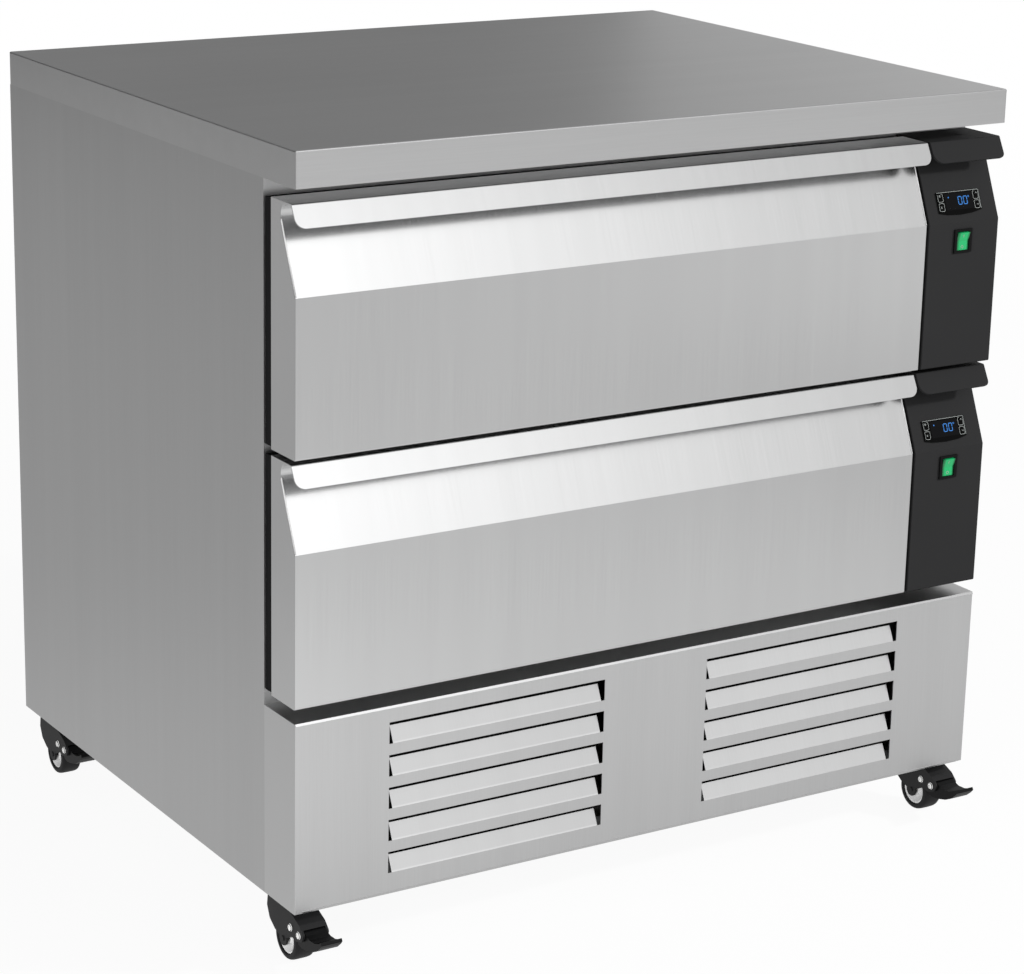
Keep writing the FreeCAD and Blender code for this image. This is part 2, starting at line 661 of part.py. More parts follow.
def drawer_boxes():
    for level, base in LEVELS.items():
        name = f"drawer_box_{level}"
        corner = ("(wall + rail_space)", "(front_depth + plug_depth)", f"({base} + sill + box_lift)")
        size = ("(drawer_width - 2 * wall - 2 * rail_space)", "box_length", "box_height")
        tub = shell(name + "_tub", corner, size, "box_skin", "top")
        rim = box(name + "_rim", plus(corner, ("-box_rim", "0", "box_height - box_skin")),
                  plus(size[:2], ("2 * box_rim", "box_rim")) + ("box_skin",))
        mouth = box(name + "_mouth", plus(corner, ("box_skin", "box_skin", "0")),
                    plus(size, ("-2 * box_skin", "-2 * box_skin", "box_skin")))
        keep(name, fuse(name, [tub, cut(name + "_flange", rim, [mouth])]))


def channel(name, base, right_side, web, reach, half, start):
    """One runner member: an upright web with a flange along each edge. web and reach are
    distances from the compartment wall to the web's outer face and to the flanges' free edges."""
    middle = f"({base} + sill + box_lift + rail_level)"
    inward = f"({reach} - {web})"
    low_x = min((web, reach), key=number)
    length_x = f"abs({inward})"
    web_x = web if number(f"{reach} - {web}") > 0 else f"{web} - rail_sheet"

    def across(text, wide):
        return f"drawer_width - wall - ({text}) - {wide}" if right_side else f"wall + {text}"
    upright = box(name + "_web", (across(web_x, "rail_sheet"), start, f"{middle} - {half}"),
                  ("rail_sheet", "rail_length", f"2 * {half}"))
    flanges = [box(f"{name}_flange_{i}", (across(low_x, length_x), start, z), (length_x, "rail_length", "rail_sheet"))
               for i, z in enumerate((f"{middle} - {half}", f"{middle} + {half} - rail_sheet"))]
    return fuse(name, [upright] + flanges)


def runners():
    """Telescopic runners: the fixed members hold the middle ones, which hold the drawer's own."""
    start = "(front_depth + plug_depth + rail_start)"
    middle_half = "(rail_half - rail_sheet - rail_gap)"
    drawer_half = "(rail_half - 2 * rail_sheet - 2 * rail_gap)"
    edge = "(rail_space - rail_sheet - 1.25 * rail_gap)"
    fixed = []
    for level, base in LEVELS.items():
        middle, moving = [], []
        for side in (False, True):
            tag = f"{level}_{'right' if side else 'left'}"
            fixed.append(channel(f"fixed_rail_{tag}", base, side, "0", edge, "rail_half", start))
            middle.append(channel(f"middle_rail_{tag}", base, side, "(2 * rail_sheet)", edge, middle_half, start))
            moving.append(channel(f"drawer_rail_{tag}", base, side, "rail_space", "(4.5 * rail_sheet)", drawer_half,
                                  start))
        keep(f"middle_rails_{level}", group(f"middle_rails_{level}", middle))
        keep(f"drawer_rails_{level}", group(f"drawer_rails_{level}", moving))
    keep("cabinet_rails", group("cabinet_rails", fixed))


# Controls

SLOPE = "atan(slant_run / (front_height - housing_wall - bend_height))"


def on_slope(item, base):
    """Put an object drawn upright on the slope of a control housing."""
    turn(item, (1, 0, 0), f"-{SLOPE}")
    return (SHIFT_X, SHIFT_Y, f"{base} + bend_height")


def control_housings():
    """Moulded housings with the openings for the controller's body and the switch."""
    housings = []
    for level, base in LEVELS.items():
        name = f"control_housing_{level}"
        body = front_shell(name + "_shell", base, HOUSING_LEFT, f"(width - {HOUSING_LEFT})", "housing_wall",
                           "setback", ("housing_round_left", "housing_round_right"))
        module = box(name + "_module_hole",
                     (f"{HOUSING_LEFT} + control_left + module_inset - key_play", "0 - housing_wall", "0"),
                     ("control_width - 2 * module_inset + 2 * key_play", "3 * housing_wall",
                      "control_height - 2 * module_inset + 2 * key_play"))
        turn(module, (1, 0, 0), f"-{SLOPE}")
        along = "(control_low + module_inset - key_play)"
        lean = f"({SLOPE})"
        move(module, (f"{HOUSING_LEFT} + control_left + module_inset - key_play",
                      f"{along} * sin{lean} - housing_wall * cos{lean}",
                      f"{base} + bend_height + {along} * cos{lean} + housing_wall * sin{lean}"))
        switch = box(name + "_switch_hole",
                     (f"{HOUSING_LEFT} + switch_left + switch_rim - key_play", "-housing_wall",
                      f"{base} + bend_height - switch_drop - switch_height + switch_rim - key_play"),
                     ("switch_width - 2 * switch_rim + 2 * key_play", "3 * housing_wall",
                      "switch_height - 2 * switch_rim + 2 * key_play"))
        housings.append(cut(name, body, [module, switch]))
    keep("control_housings", group("control_housings", housings))


def key_places():
    """Left edge and lower edge of each key on the bezel, by name."""
    places = {}
    for side, left in (("left", "control_left + key_inset"),
                       ("right", "control_left + control_width - key_inset - key_width")):
        for row, low in (("low", "control_low + key_low"), ("high", "control_low + key_low + key_pitch")):
            places[f"{row}_{side}"] = (f"({HOUSING_LEFT} + {left})", f"({low})")
    return places


def controllers():
    """Controller modules: a bezel with a bulged lower edge, and the body behind it. Each key
    sits in a pocket of the bezel."""
    bodies = []
    for level, base in LEVELS.items():
        name = f"controller_{level}"
        body = new_body(name)
        left = f"({HOUSING_LEFT} + control_left)"
        face = sketch(body, name + "_bezel", "XZ_Plane", "0")
        outline(face, [(left, "control_low"), (f"{left} + control_width / 5", "control_low - 0.7 * control_bulge"),
                       (f"{left} + control_width / 2", "control_low - control_bulge"),
                       (f"{left} + control_width * 4 / 5", "control_low - 0.7 * control_bulge"),
                       (f"{left} + control_width", "control_low"),
                       (f"{left} + control_width", "control_low + control_height"),
                       (left, "control_low + control_height")])
        pad(body, face, "control_proud")
        rear = sketch(body, name + "_body", "XZ_Plane", "0")
        rectangle(rear, (f"{left} + module_inset", "control_low + module_inset"),
                  (f"{left} + control_width - module_inset", "control_low + control_height - module_inset"))
        pad(body, rear, "module_depth", back=True)
        for key, (x, z) in key_places().items():
            mouth = sketch(body, f"{name}_{key}", "XZ_Plane", "control_proud")
            rectangle(mouth, (f"{x} - key_play", f"{z} - key_play"),
                      (f"{x} + key_width + key_play", f"{z} + key_height + key_play"))
            pocket(body, mouth, "key_pocket", back=True)
            cap = box(f"key_{level}_{key}", ("0", "0", "0"), ("key_width", "key_thick", "key_height"))
            place = on_slope(cap, base)
            depth = "(-control_proud - key_proud)"
            lean = f"({SLOPE})"
            keep(f"key_{level}_{key}", cap,
                 (f"{SHIFT_X} + {x}", f"{place[1]} + {z} * sin{lean} + {depth} * cos{lean}",
                  f"{place[2]} + {z} * cos{lean} - {depth} * sin{lean}"))
        on = on_slope(body, base)
        move(body, (HOUSING_LEFT + " - " + HOUSING_LEFT, "0", on[2]))
        bodies.append(body)
    keep("controllers", group("controllers", bodies))


def switches():
    """Rocker switches: bezel and body with a window, and the rocker on its pivot."""
    frames = []
    for level, base in LEVELS.items():
        left = f"({HOUSING_LEFT} + switch_left)"
        low = f"({base} + bend_height - switch_drop - switch_height)"
        bezel = box(f"switch_bezel_{level}", (left, "-switch_proud", low),
                    ("switch_width", "switch_proud", "switch_height"))
        rear = box(f"switch_rear_{level}", (f"{left} + switch_rim", "-switch_proud / 2", f"{low} + switch_rim"),
                   ("switch_width - 2 * switch_rim", "switch_body + switch_proud / 2",
                    "switch_height - 2 * switch_rim"))
        centre_x = f"({left} + switch_width / 2)"
        centre_z = f"({low} + switch_height / 2)"
        half_w = "(rocker_width / 2 + rocker_play)"
        half_h = "(rocker_half + rocker_swing)"
        window = box(f"switch_window_{level}", (f"{centre_x} - {half_w}", "-2 * switch_proud",
                                                f"{centre_z} - {half_h}"),
                     (f"2 * {half_w}", "2 * switch_proud + rocker_pivot + rocker_nose", f"2 * {half_h}"))
        frames.append(cut(f"switch_frame_{level}", fuse(f"switch_solid_{level}", [bezel, rear]), [window]))

        name = f"rocker_{level}"
        body = new_body(name)
        section = sketch(body, name + "_section", "YZ_Plane", "0")
        outline(section, [("-rocker_dip", "0"), ("-rocker_nose", "rocker_half"), ("0", "rocker_half"),
                          ("rocker_nose * 0.6", "rocker_half / 2"), ("rocker_nose * 0.6", "-rocker_half / 2"),
                          ("0", "-rocker_half"), ("-rocker_nose", "-rocker_half")])
        pad(body, section, "rocker_width", midplane=True)
        turn(body, (1, 0, 0), "rocker_tilt")
        keep(name, body, plus(SHIFT, (centre_x, "rocker_pivot", centre_z)))
    keep("switch_frames", group("switch_frames", frames))


# Casters

CASTERS = {
    "front_left": ("caster_x", "caster_front"),
    "front_right": ("width - caster_x", "caster_front"),
    "rear_left": ("caster_x", "depth - caster_back"),
    "rear_right": ("width - caster_x", "depth - caster_back"),
}
HALF_FORK = "(wheel_width / 2 + cheek_gap + cheek)"


def caster_plates():
    """Top plates with their ball races and king pins, fixed under the base tray."""
    plates = []
    for name, (x, y) in CASTERS.items():
        top = "(ground_gap + tray_lift)"
        axis_y = f"({y} + trail)"
        plate = box(f"plate_{name}", (f"{x} - plate_size / 2", f"{axis_y} - plate_size / 2", f"{top} - plate_thick"),
                    ("plate_size", "plate_size", "plate_thick"))
        race = rod(f"race_{name}", "Z", (x, axis_y, f"{top} - plate_thick - race_height"), "swivel_radius + skin",
                   "race_height + plate_thick / 2")
        pin = rod(f"king_pin_{name}", "Z", (x, axis_y, "fork_top - fork_web"), "kingpin_radius",
                  f"{top} - plate_thick / 2 - fork_top + fork_web")
        plates.append(fuse(f"caster_plate_{name}", [plate, race, pin]))
    keep("caster_plates", group("caster_plates", plates))


def caster_fork(name, place):
    """Hooded fork: two cheeks that reach down to the axle, a thick top and a hood that slopes
    down in front, with rivets through both cheeks."""
    body = new_body(f"fork_body_{name}")
    side = sketch(body, f"fork_side_{name}", "YZ_Plane", "0")
    axle = "wheel_radius"
    corners = [("fork_back", "fork_top"), ("fork_back + 2", f"{axle} * 2"), ("fork_back - 4", f"{axle} + 12"),
               ("fork_back - 16", f"{axle} + 4"), ("fork_eye - 0.5", f"{axle} + 1"), ("0", axle),
               ("0.5 - fork_eye", f"{axle} + 3"), ("-fork_front + 24", f"{axle} + 10"),
               ("-fork_front + 16", f"{axle} + 8"), ("-fork_front + 4", f"{axle} + 12"),
               ("-fork_front", f"{axle} + 20"), ("-fork_front + 10", "fork_top - 11"), ("-8", "fork_top")]
    outline(side, corners)
    pad(body, side, f"2 * {HALF_FORK}", midplane=True)
    soften(body, [("0", y, z) for y, z in corners[1:4] + corners[9:]], "fork_round")
    slot = sketch(body, f"fork_slot_{name}", "YZ_Plane", "0")
    outline(slot, [("fork_back * 2", "0"), ("fork_back * 2", "fork_top - fork_web"),
                   ("-trail", "fork_top - fork_web"), ("-fork_front + 10", "fork_top - 12.5 - hood"),
                   ("-fork_front * 2", "fork_top - 12.5 - hood"), ("-fork_front * 2", "0")])
    pocket(body, slot, f"2 * ({HALF_FORK} - cheek)", midplane=True)
    head = rod(f"swivel_head_{name}", "Z", ("0", "trail", "fork_top - cheek"), "swivel_radius",
               "ground_gap + tray_lift - plate_thick - race_height - swivel_gap - fork_top + cheek")
    axle_bar = rod(f"axle_{name}", "X", (f"-{HALF_FORK} - boss_height", "0", axle), "axle_radius",
                   f"2 * ({HALF_FORK} + boss_height)")
    pin = rod(f"pedal_pin_{name}", "X", (f"-{HALF_FORK}", "-pedal_y", "pedal_z"), "pedal_pin", f"2 * {HALF_FORK}")
    pieces = [body, head, axle_bar, pin]
    for end, x in (("near", f"-{HALF_FORK}"), ("far", f"({HALF_FORK} - cheek)")):
        pieces.append(rod(f"fork_eye_{end}_{name}", "X", (x, "0", axle), "fork_eye", "cheek"))
        outer = f"{x} - boss_height" if end == "near" else x
        for rivet, y, z in (("brake", "-pedal_y + fork_front * 0.4", "pedal_z + 2"), ("pedal", "-pedal_y", "pedal_z")):
            pieces.append(rod(f"{rivet}_rivet_{end}_{name}", "X", (outer, y, z), "boss_radius",
                              "boss_height + cheek"))
    bore = rod(f"king_bore_{name}", "Z", ("0", "trail", "0"), "kingpin_radius + fit", "fork_top * 2")
    label = f"caster_fork_{name}"
    keep(label, cut(label, fuse(f"fork_solid_{name}", pieces), [bore]), plus(SHIFT, place))


def caster_wheel(name, place):
    """Black tyre on a white rim with a dished face round its hub."""
    tyre = new_body(f"tyre_{name}")
    section = sketch(tyre, f"tyre_section_{name}", "XY_Plane", "0")
    half = "(wheel_width / 2)"
    outline(section, [(f"-{half}", "rim_radius"), (half, "rim_radius"), (half, "wheel_radius - wheel_shoulder"),
                      (f"{half} - 0.13 * wheel_shoulder", "wheel_radius - 0.5 * wheel_shoulder"),
                      (f"{half} - 0.5 * wheel_shoulder", "wheel_radius - 0.13 * wheel_shoulder"),
                      (f"{half} - wheel_shoulder", "wheel_radius"), (f"-{half} + wheel_shoulder", "wheel_radius"),
                      (f"-{half} + 0.5 * wheel_shoulder", "wheel_radius - 0.13 * wheel_shoulder"),
                      (f"-{half} + 0.13 * wheel_shoulder", "wheel_radius - 0.5 * wheel_shoulder"),
                      (f"-{half}", "wheel_radius - wheel_shoulder")])
    rim = new_body(f"rim_{name}")
    profile = sketch(rim, f"rim_section_{name}", "XY_Plane", "0")
    face = f"({half} - rim_recess)"
    floor = f"({face} - dish_depth)"
    hub = f"({floor} + hub_height)"
    right = [(hub, "axle_radius + fit"), (hub, "dish_inner - 2"), (floor, "dish_inner"), (face, "dish_outer"),
             (face, "rim_radius")]
    outline(profile, right + [(f"-{x}", radius) for x, radius in reversed(right)])
    for body, drawing in ((tyre, section), (rim, profile)):
        turned = body.newObject("PartDesign::Revolution", drawing.Name + "_turned")
        turned.Profile = drawing
        turned.ReferenceAxis = (drawing, ["H_Axis"])
        turned.Angle = 360
        move(body, ("0", "0", "wheel_radius"))
    doc.recompute()
    label = f"caster_wheel_{name}"
    keep(label, group(label, [tyre, rim]), plus(SHIFT, place))


def brake_pedal(name, place):
    """Brake pedal: a lever on the fork's pin, with an upturned tread in front and a shoe behind
    that swings to the tyre when the tread is pressed."""
    label = f"brake_pedal_{name}"
    body = new_body(label)
    side = sketch(body, f"{label}_side", "YZ_Plane", "0")
    y, z, tip = "-pedal_y", "pedal_z", "-pedal_reach"
    corners = [(f"{y} + 9", f"{z} + 4.5"), (f"{y} - 1.5", f"{z} + 4.5"), (f"{y} - 4", f"{z} + 6.5"),
               (f"{y} - 8", f"{z} + 6"), (f"{y} - 12", f"{z} + 3.5"), (f"{y} - 19", f"{z} + 1.5"),
               (f"{tip} + 16", f"{z} + 2"), (f"{tip} + 7", f"{z} + 5"), (f"{tip} + 2", f"{z} + 8.5"),
               (tip, f"{z} + 5.5"), (f"{tip} + 4", f"{z} + 1"), (f"{tip} + 11", f"{z} - 5"),
               (f"{tip} + 20", f"{z} - 9.5"), (f"{y} - 12", f"{z} - 13"), (f"{y} - 2", f"{z} - 14.5"),
               (f"{y} + 6", f"{z} - 13"), (f"{y} + 8", f"{z} - 4")]
    outline(side, corners)
    pad(body, side, "2 * (wheel_width / 2 + cheek_gap - pedal_play)", midplane=True)
    soften(body, [("0", *corners[i]) for i in (2, 3, 4, 9)], "pedal_round")
    eye = sketch(body, f"{label}_eye", "YZ_Plane", "0")
    hole(eye, y, z, "pedal_pin + fit")
    pocket(body, eye, "4 * wheel_width", midplane=True)
    keep(label, body, plus(SHIFT, place))


def casters():
    caster_plates()
    for name, (x, y) in CASTERS.items():
        place = (x, y, "0")
        caster_fork(name, place)
        caster_wheel(name, place)
        brake_pedal(name, place)


# Refrigeration

COOLER_FAN_X = "(drawer_width - wall - 2.4 * cooler_fan_radius)"
SHROUD_BACK = "(coil_front + coil_depth + shroud_depth)"
COIL_MIDDLE = f"({TRAY_TOP} + coil_height / 2)"


def finned_coil(name, corner, size):
    """A finned block with its tube bends at both ends."""
    x, y, z = corner
    width, depth, height = size
    core = box(name + "_core", (x, f"{y} + 0.15 * {depth}", z), (width, f"0.7 * {depth}", height))
    pieces = [core]
    count = int(number(f"{width} / fin_pitch"))
    for i in range(count + 1):
        pieces.append(box(f"{name}_fin_{i}", (f"{x} + ({width} - fin_thick) * {i} / {count}", y, z),
                          ("fin_thick", depth, height)))
    bends = 3
    for i in range(bends):
        level = f"{z} + {height} * {2 * i + 1} / {2 * bends}"
        pieces.append(rod(f"{name}_bend_{i}", "X", (f"{x} - 2 * tube_radius", f"{y} + {depth} / 2", level),
                          "tube_radius", f"{width} + 4 * tube_radius"))
    return fuse(name, pieces)


def axial_fan(name, radius, forward):
    """Hub with five pitched blades and a shaft that runs back into the motor."""
    body = new_body(name)
    hub = sketch(body, name + "_hub", "XZ_Plane", "-fan_blade")
    hole(hub, "0", "0", "fan_hub")
    pad(body, hub, "fan_blade")
    shaft = sketch(body, name + "_shaft", "XZ_Plane", "-fan_blade")
    hole(shaft, "0", "0", "shaft_radius")
    pad(body, shaft, forward, back=True)
    root = sketch(body, name + "_blade_root", "XY_Plane", "0.8 * fan_hub")
    half = "(fan_blade / 2 / tan(blade_pitch))"
    outline(root, [(f"-{half} - blade_thick", "0"), (f"-{half}", "0"), (f"{half} + blade_thick", "fan_blade"),
                   (half, "fan_blade")])
    blade = pad(body, root, f"{radius} - 0.8 * fan_hub")
    turned = body.newObject("PartDesign::PolarPattern", name + "_blades")
    turned.Originals = [blade]
    turned.Axis = (hub, ["N_Axis"])
    turned.Angle = 360
    turned.Occurrences = 5
    body.Tip = turned
    doc.recompute()
    return body


def motor(name, centre, front, depth_text):
    """A fan motor with a bore for the fan's shaft."""
    x, z = centre
    can = rod(name + "_can", "Y", (x, front, z), "motor_radius", depth_text)
    bore = rod(name + "_bore", "Y", (x, f"{front} - skin", z), "shaft_radius + fit", f"0.8 * {depth_text}")
    return cut(name, can, [bore])


def condensing_sets():
    """Two condensers behind the louvres, each with its shroud, fan, motor and compressor."""
    coils, shrouds, motors, shells, lines = [], [], [], [], []
    for side, x in zip(("left", "right"), BANK_CENTRES):
        coil = finned_coil(f"condenser_{side}", (f"({x} - coil_half)", "coil_front", TRAY_TOP),
                           ("(2 * coil_half)", "coil_depth", "coil_height"))
        coils.append(coil)
        corner = (f"({x} - coil_half)", "(coil_front + coil_depth)", TRAY_TOP)
        size = ("(2 * coil_half)", "shroud_depth", "coil_height")
        hood = shell(f"shroud_box_{side}", corner, size, "skin", "front")
        mouth = rod(f"shroud_ring_{side}", "Y", (x, f"{SHROUD_BACK} - 3 * skin", COIL_MIDDLE),
                    "fan_radius + fan_play", "6 * skin")
        opened = cut(f"shroud_open_{side}", hood, [mouth])
        arms = [box(f"shroud_arm_{side}_{i}", (f"{x} - coil_half", SHROUD_BACK,
                                              f"{COIL_MIDDLE} + {offset} * motor_radius - tube_radius"),
                    ("2 * coil_half", "skin", "2 * tube_radius")) for i, offset in enumerate(("-0.5", "0.5"))]
        shrouds.append(fuse(f"shroud_{side}", [opened] + arms))
        motors.append(motor(f"condenser_motor_{side}", (x, COIL_MIDDLE), f"({SHROUD_BACK} + skin)", "motor_depth"))
        label = f"condenser_fan_{side}"
        fan = axial_fan(label, "fan_radius", "shroud_depth / 2")
        keep(label, fan, plus(SHIFT, (x, f"{SHROUD_BACK} - fan_blade - shroud_depth / 3", COIL_MIDDLE)))
        shells.append(compressor(side, x))
        lines += compressor_lines(side, x)
    keep("condensers", group("condensers", coils))
    keep("condenser_shrouds", group("condenser_shrouds", shrouds))
    keep("compressors", group("compressors", shells))
    keep("refrigerant_lines", group("refrigerant_lines", lines))
    return motors


def compressor(side, x):
    """Welded domed shell on a base plate with four rubber feet."""
    body = new_body(f"compressor_shell_{side}")
    section = sketch(body, f"compressor_section_{side}", "XZ_Plane", "0")
    outline(section, [("0", "0"), ("shell_radius - 12", "0"), ("shell_radius", "12"),
                      ("shell_radius", "shell_height * 0.45"), ("shell_radius + 3", "shell_height * 0.45"),
                      ("shell_radius + 3", "shell_height * 0.45 + 5"), ("shell_radius", "shell_height * 0.45 + 5"),
                      ("shell_radius", "shell_height * 0.75"), ("shell_radius * 0.8", "shell_height * 0.93"),
                      ("shell_radius * 0.4", "shell_height"), ("0", "shell_height")])
    turned = body.newObject("PartDesign::Revolution", f"compressor_turned_{side}")
    turned.Profile = section
    turned.ReferenceAxis = (section, ["V_Axis"])
    turned.Angle = 360
    doc.recompute()
    move(body, (x, "shell_y", f"{TRAY_TOP} + shell_lift"))
    plate = box(f"compressor_plate_{side}", (f"{x} - shell_radius", "shell_y - shell_radius",
                                             f"{TRAY_TOP} + shell_lift - 2 * skin"),
                ("2 * shell_radius", "2 * shell_radius", "3 * skin"))
    feet = []
    for i, (dx, dy) in enumerate(((-1, -1), (1, -1), (-1, 1), (1, 1))):
        feet.append(rod(f"compressor_foot_{side}_{i}", "Z",
                        (f"{x} + {dx} * 0.82 * shell_radius", f"shell_y + {dy} * 0.82 * shell_radius", TRAY_TOP),
                        "2.5 * tube_radius", "shell_lift - skin"))
    return fuse(f"compressor_{side}", [body, plate] + feet)


def tube(name, corners, radius, bend):
    """A bent tube: straight runs joined by arcs of one radius."""
    points = [Vector(*[number(text) for text in corner]) for corner in corners]
    edges = []
    start = points[0]
    for i in range(1, len(points) - 1):
        before = (points[i - 1] - points[i]).normalize()
        after = (points[i + 1] - points[i]).normalize()
        half = before.getAngle(after) / 2
        reach = bend / tan(half)
        enter = points[i] + before * reach
        leave = points[i] + after * reach
        centre = points[i] + (before + after).normalize() * (bend / sin(half))
        middle = centre + (points[i] - centre).normalize() * bend
        edges.append(Part.LineSegment(start, enter).toShape())
        edges.append(Part.Arc(enter, middle, leave).toShape())
        start = leave
    edges.append(Part.LineSegment(start, points[-1]).toShape())
    path = Part.Wire(edges)
    direction = points[1] - points[0]
    mouth = Part.Wire([Part.Circle(points[0], direction, radius).toShape()])
    item = doc.addObject("Part::Feature", name)
    item.Shape = path.makePipeShell([mouth], True, False)
    return item


def compressor_lines(side, x):
    """Discharge line to the condenser and suction line up to the foam."""
    radius = number("line_radius")
    bend = 3 * radius
    level = f"{TRAY_TOP} + shell_lift + shell_height * 0.6"
    turn_x = f"{x} + coil_half + 2 * tube_radius + 5 * line_radius"
    coil_y = "coil_front + coil_depth / 2"
    discharge = [(f"{x} + shell_radius", "shell_y", level), (turn_x, "shell_y", level), (turn_x, coil_y, level),
                 (f"{x} + coil_half + 2 * tube_radius", coil_y, level)]
    suction = [(f"{x} - shell_radius", "shell_y", level), (f"{x} - shell_radius - 7 * line_radius", "shell_y", level),
               (f"{x} - shell_radius - 7 * line_radius", "shell_y", FOAM_BOTTOM)]
    return [tube(f"discharge_{side}", discharge, radius, bend), tube(f"suction_{side}", suction, radius, bend)]


def coolers():
    """A cooler at the back of each compartment: coil, fan, motor and cover."""
    coils, covers, motors = [], [], []
    for level, base in LEVELS.items():
        floor = f"({base} + sill)"
        tall = "(front_height - sill - head)"
        middle = f"({floor} + {tall} / 2)"
        coils.append(finned_coil(f"evaporator_{level}",
                                 ("(wall + fan_space / 2)", f"({CAVITY_BACK} - coil_depth)", f"({floor} + 0.1 * {tall})"),
                                 ("(1.6 * coil_half)", "coil_depth", f"(0.8 * {tall})")))
        corner = ("wall", f"({CAVITY_BACK} - fan_space)", floor)
        size = ("(drawer_width - 2 * wall)", "fan_space", tall)
        cover = shell(f"cover_box_{level}", corner, size, "skin", "back")
        mouth = rod(f"cover_ring_{level}", "Y", (COOLER_FAN_X, f"{CAVITY_BACK} - fan_space - skin", middle),
                    "cooler_fan_radius + fan_play", "3 * skin")
        slots = [box(f"cover_slot_{level}_{i}", ("wall + fan_space", f"{CAVITY_BACK} - fan_space - skin",
                                                f"{floor} + {tall} * {share}"),
                     ("1.4 * coil_half", "3 * skin", f"0.06 * {tall}"))
                 for i, share in enumerate(("0.25", "0.45", "0.65"))]
        covers.append(cut(f"cover_{level}", cover, [mouth] + slots))
        motors.append(motor(f"cooler_motor_{level}", (COOLER_FAN_X, middle), f"({CAVITY_BACK} - motor_depth)",
                            "motor_depth"))
        label = f"cooler_fan_{level}"
        fan = axial_fan(label, "cooler_fan_radius", "motor_depth / 2")
        keep(label, fan, plus(SHIFT, (COOLER_FAN_X, f"{CAVITY_BACK} - fan_space + 3 * skin", middle)))
    keep("evaporators", group("evaporators", coils))
    keep("evaporator_covers", group("evaporator_covers", covers))
    return motors


def condensate_tray():
    keep("condensate_tray", shell("condensate_tray", ("(width / 2 - coil_half)", "(depth - 5 * coil_depth)", TRAY_TOP),
                                  ("(2 * coil_half)", "(3 * coil_depth)", "coil_depth"), "(2 * skin)", "top"))


def main():
    worktop()
    side_panel("side_panel_left", False)
    side_panel("side_panel_right", True)
    back_panel()
    front_frame()
    liners()
    insulation_foam()
    base_tray()
    kick_panel()
    drawer_fronts()
    inner_panels()
    gaskets()
    drawer_boxes()
    runners()
    control_housings()
    controllers()
    switches()
    casters()
    keep("fan_motors", group("fan_motors", condensing_sets() + coolers()))
    condensate_tray()
    doc.recompute()


def write():
    """Check every object and every sub-part, then write one file per sub-part."""
    failed = [item.Name for item in doc.Objects if {"Invalid", "Error"} & set(item.State)]
    if failed:
        raise RuntimeError("failed objects: " + ", ".join(failed))
    for label, item in NODES.items():
        if item.Shape.isNull() or not item.Shape.isValid() or not item.Shape.Solids:
            raise RuntimeError("bad shape: " + label)
    os.makedirs("parts", exist_ok=True)
    for label, item in NODES.items():
        item.Shape.exportStep(f"parts/{label}.step")
    print(len(NODES), "sub-parts,", sum(len(item.Shape.Solids) for item in NODES.values()), "solids")


main()
write()
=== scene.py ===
# %% [markdown]
# # A refrigerated drawer unit
# This notebook dresses the finished model of a kitchen counter: a steel cabinet on casters with two
# insulated drawers, a louvred kick panel and a black control housing beside each drawer. The model
# gives every solid its place. Here it gets its materials, its light and its finest details.

# %% Load the model
import json
from math import atan, cos, pi, radians, sin

import bpy
import numpy as np
from mathutils import Matrix


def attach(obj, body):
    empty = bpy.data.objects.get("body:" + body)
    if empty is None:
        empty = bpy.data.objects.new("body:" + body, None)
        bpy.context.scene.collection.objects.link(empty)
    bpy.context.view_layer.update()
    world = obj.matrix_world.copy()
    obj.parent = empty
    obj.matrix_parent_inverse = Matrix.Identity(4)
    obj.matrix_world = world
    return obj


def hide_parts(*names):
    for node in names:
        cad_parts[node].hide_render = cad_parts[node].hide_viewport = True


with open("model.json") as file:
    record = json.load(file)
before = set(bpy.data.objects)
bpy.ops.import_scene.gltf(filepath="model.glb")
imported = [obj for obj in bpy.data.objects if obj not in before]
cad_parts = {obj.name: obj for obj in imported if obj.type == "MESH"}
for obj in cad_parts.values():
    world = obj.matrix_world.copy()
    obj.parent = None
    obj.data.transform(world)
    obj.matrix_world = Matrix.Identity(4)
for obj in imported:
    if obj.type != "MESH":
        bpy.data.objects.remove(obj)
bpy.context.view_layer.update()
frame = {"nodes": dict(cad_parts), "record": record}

# %% [markdown]
# The unit was drawn in millimetres from its lower left front corner, and the model stands with the
# middle of its footprint on the origin. One small function takes a place from the first set of
# coordinates to the second, for one point or for a whole array of points at once.
#
# The named heights come back in several cells. The two bases are the lower edges of the drawer
# fronts, and the bend is where a front starts to lean back, measured up from its base.

# %% Cabinet coordinates
WIDTH, HEIGHT = 900.0, 875.0
FRONT_Y = -331.0
ORIGIN = np.array([-WIDTH / 2, FRONT_Y, 0.0])
BASES = {"lower": 297.0, "upper": 562.0}
BEND = 166.5


def metres(points):
    """Cabinet millimetres, shifted to the model's origin and divided by a thousand."""
    return (np.asarray(points, float) + ORIGIN) / 1000


print("worktop corner at", metres([0, 0, HEIGHT]))

# %% [markdown]
# The camera stands in front and to the left, a little above the worktop, with a long lens. A long
# lens keeps the vertical edges nearly parallel, as they are in a catalogue picture. Its place, the
# direction in which it looks and those of its right and its top are written as numbers, so nothing
# has to be aimed by hand. The lens was found in pixels of the picture, and Blender wants it in
# millimetres on the sensor.

# %% Camera
EYE = (-1.8165, -2.8950, 1.4064)
FORWARD = np.array([0.51246, 0.80964, -0.28614])
RIGHT = np.array([0.84821, -0.52922, 0.02164])
UPWARD = np.array([0.13392, 0.25380, 0.95794])
LENS_PIXELS, PICTURE_PIXELS = 3030.63, 1024
SENSOR_WIDTH = 36
FARTHEST = 50


def standing(place, across, up, back):
    """The matrix of an object at a place whose own x, y and z axes are three given directions.
    Cameras and lamps look along their own -z, so their third direction points backwards."""
    turned = Matrix([list(row) for row in np.array([across, up, back]).T]).to_4x4()
    return Matrix.Translation(place) @ turned


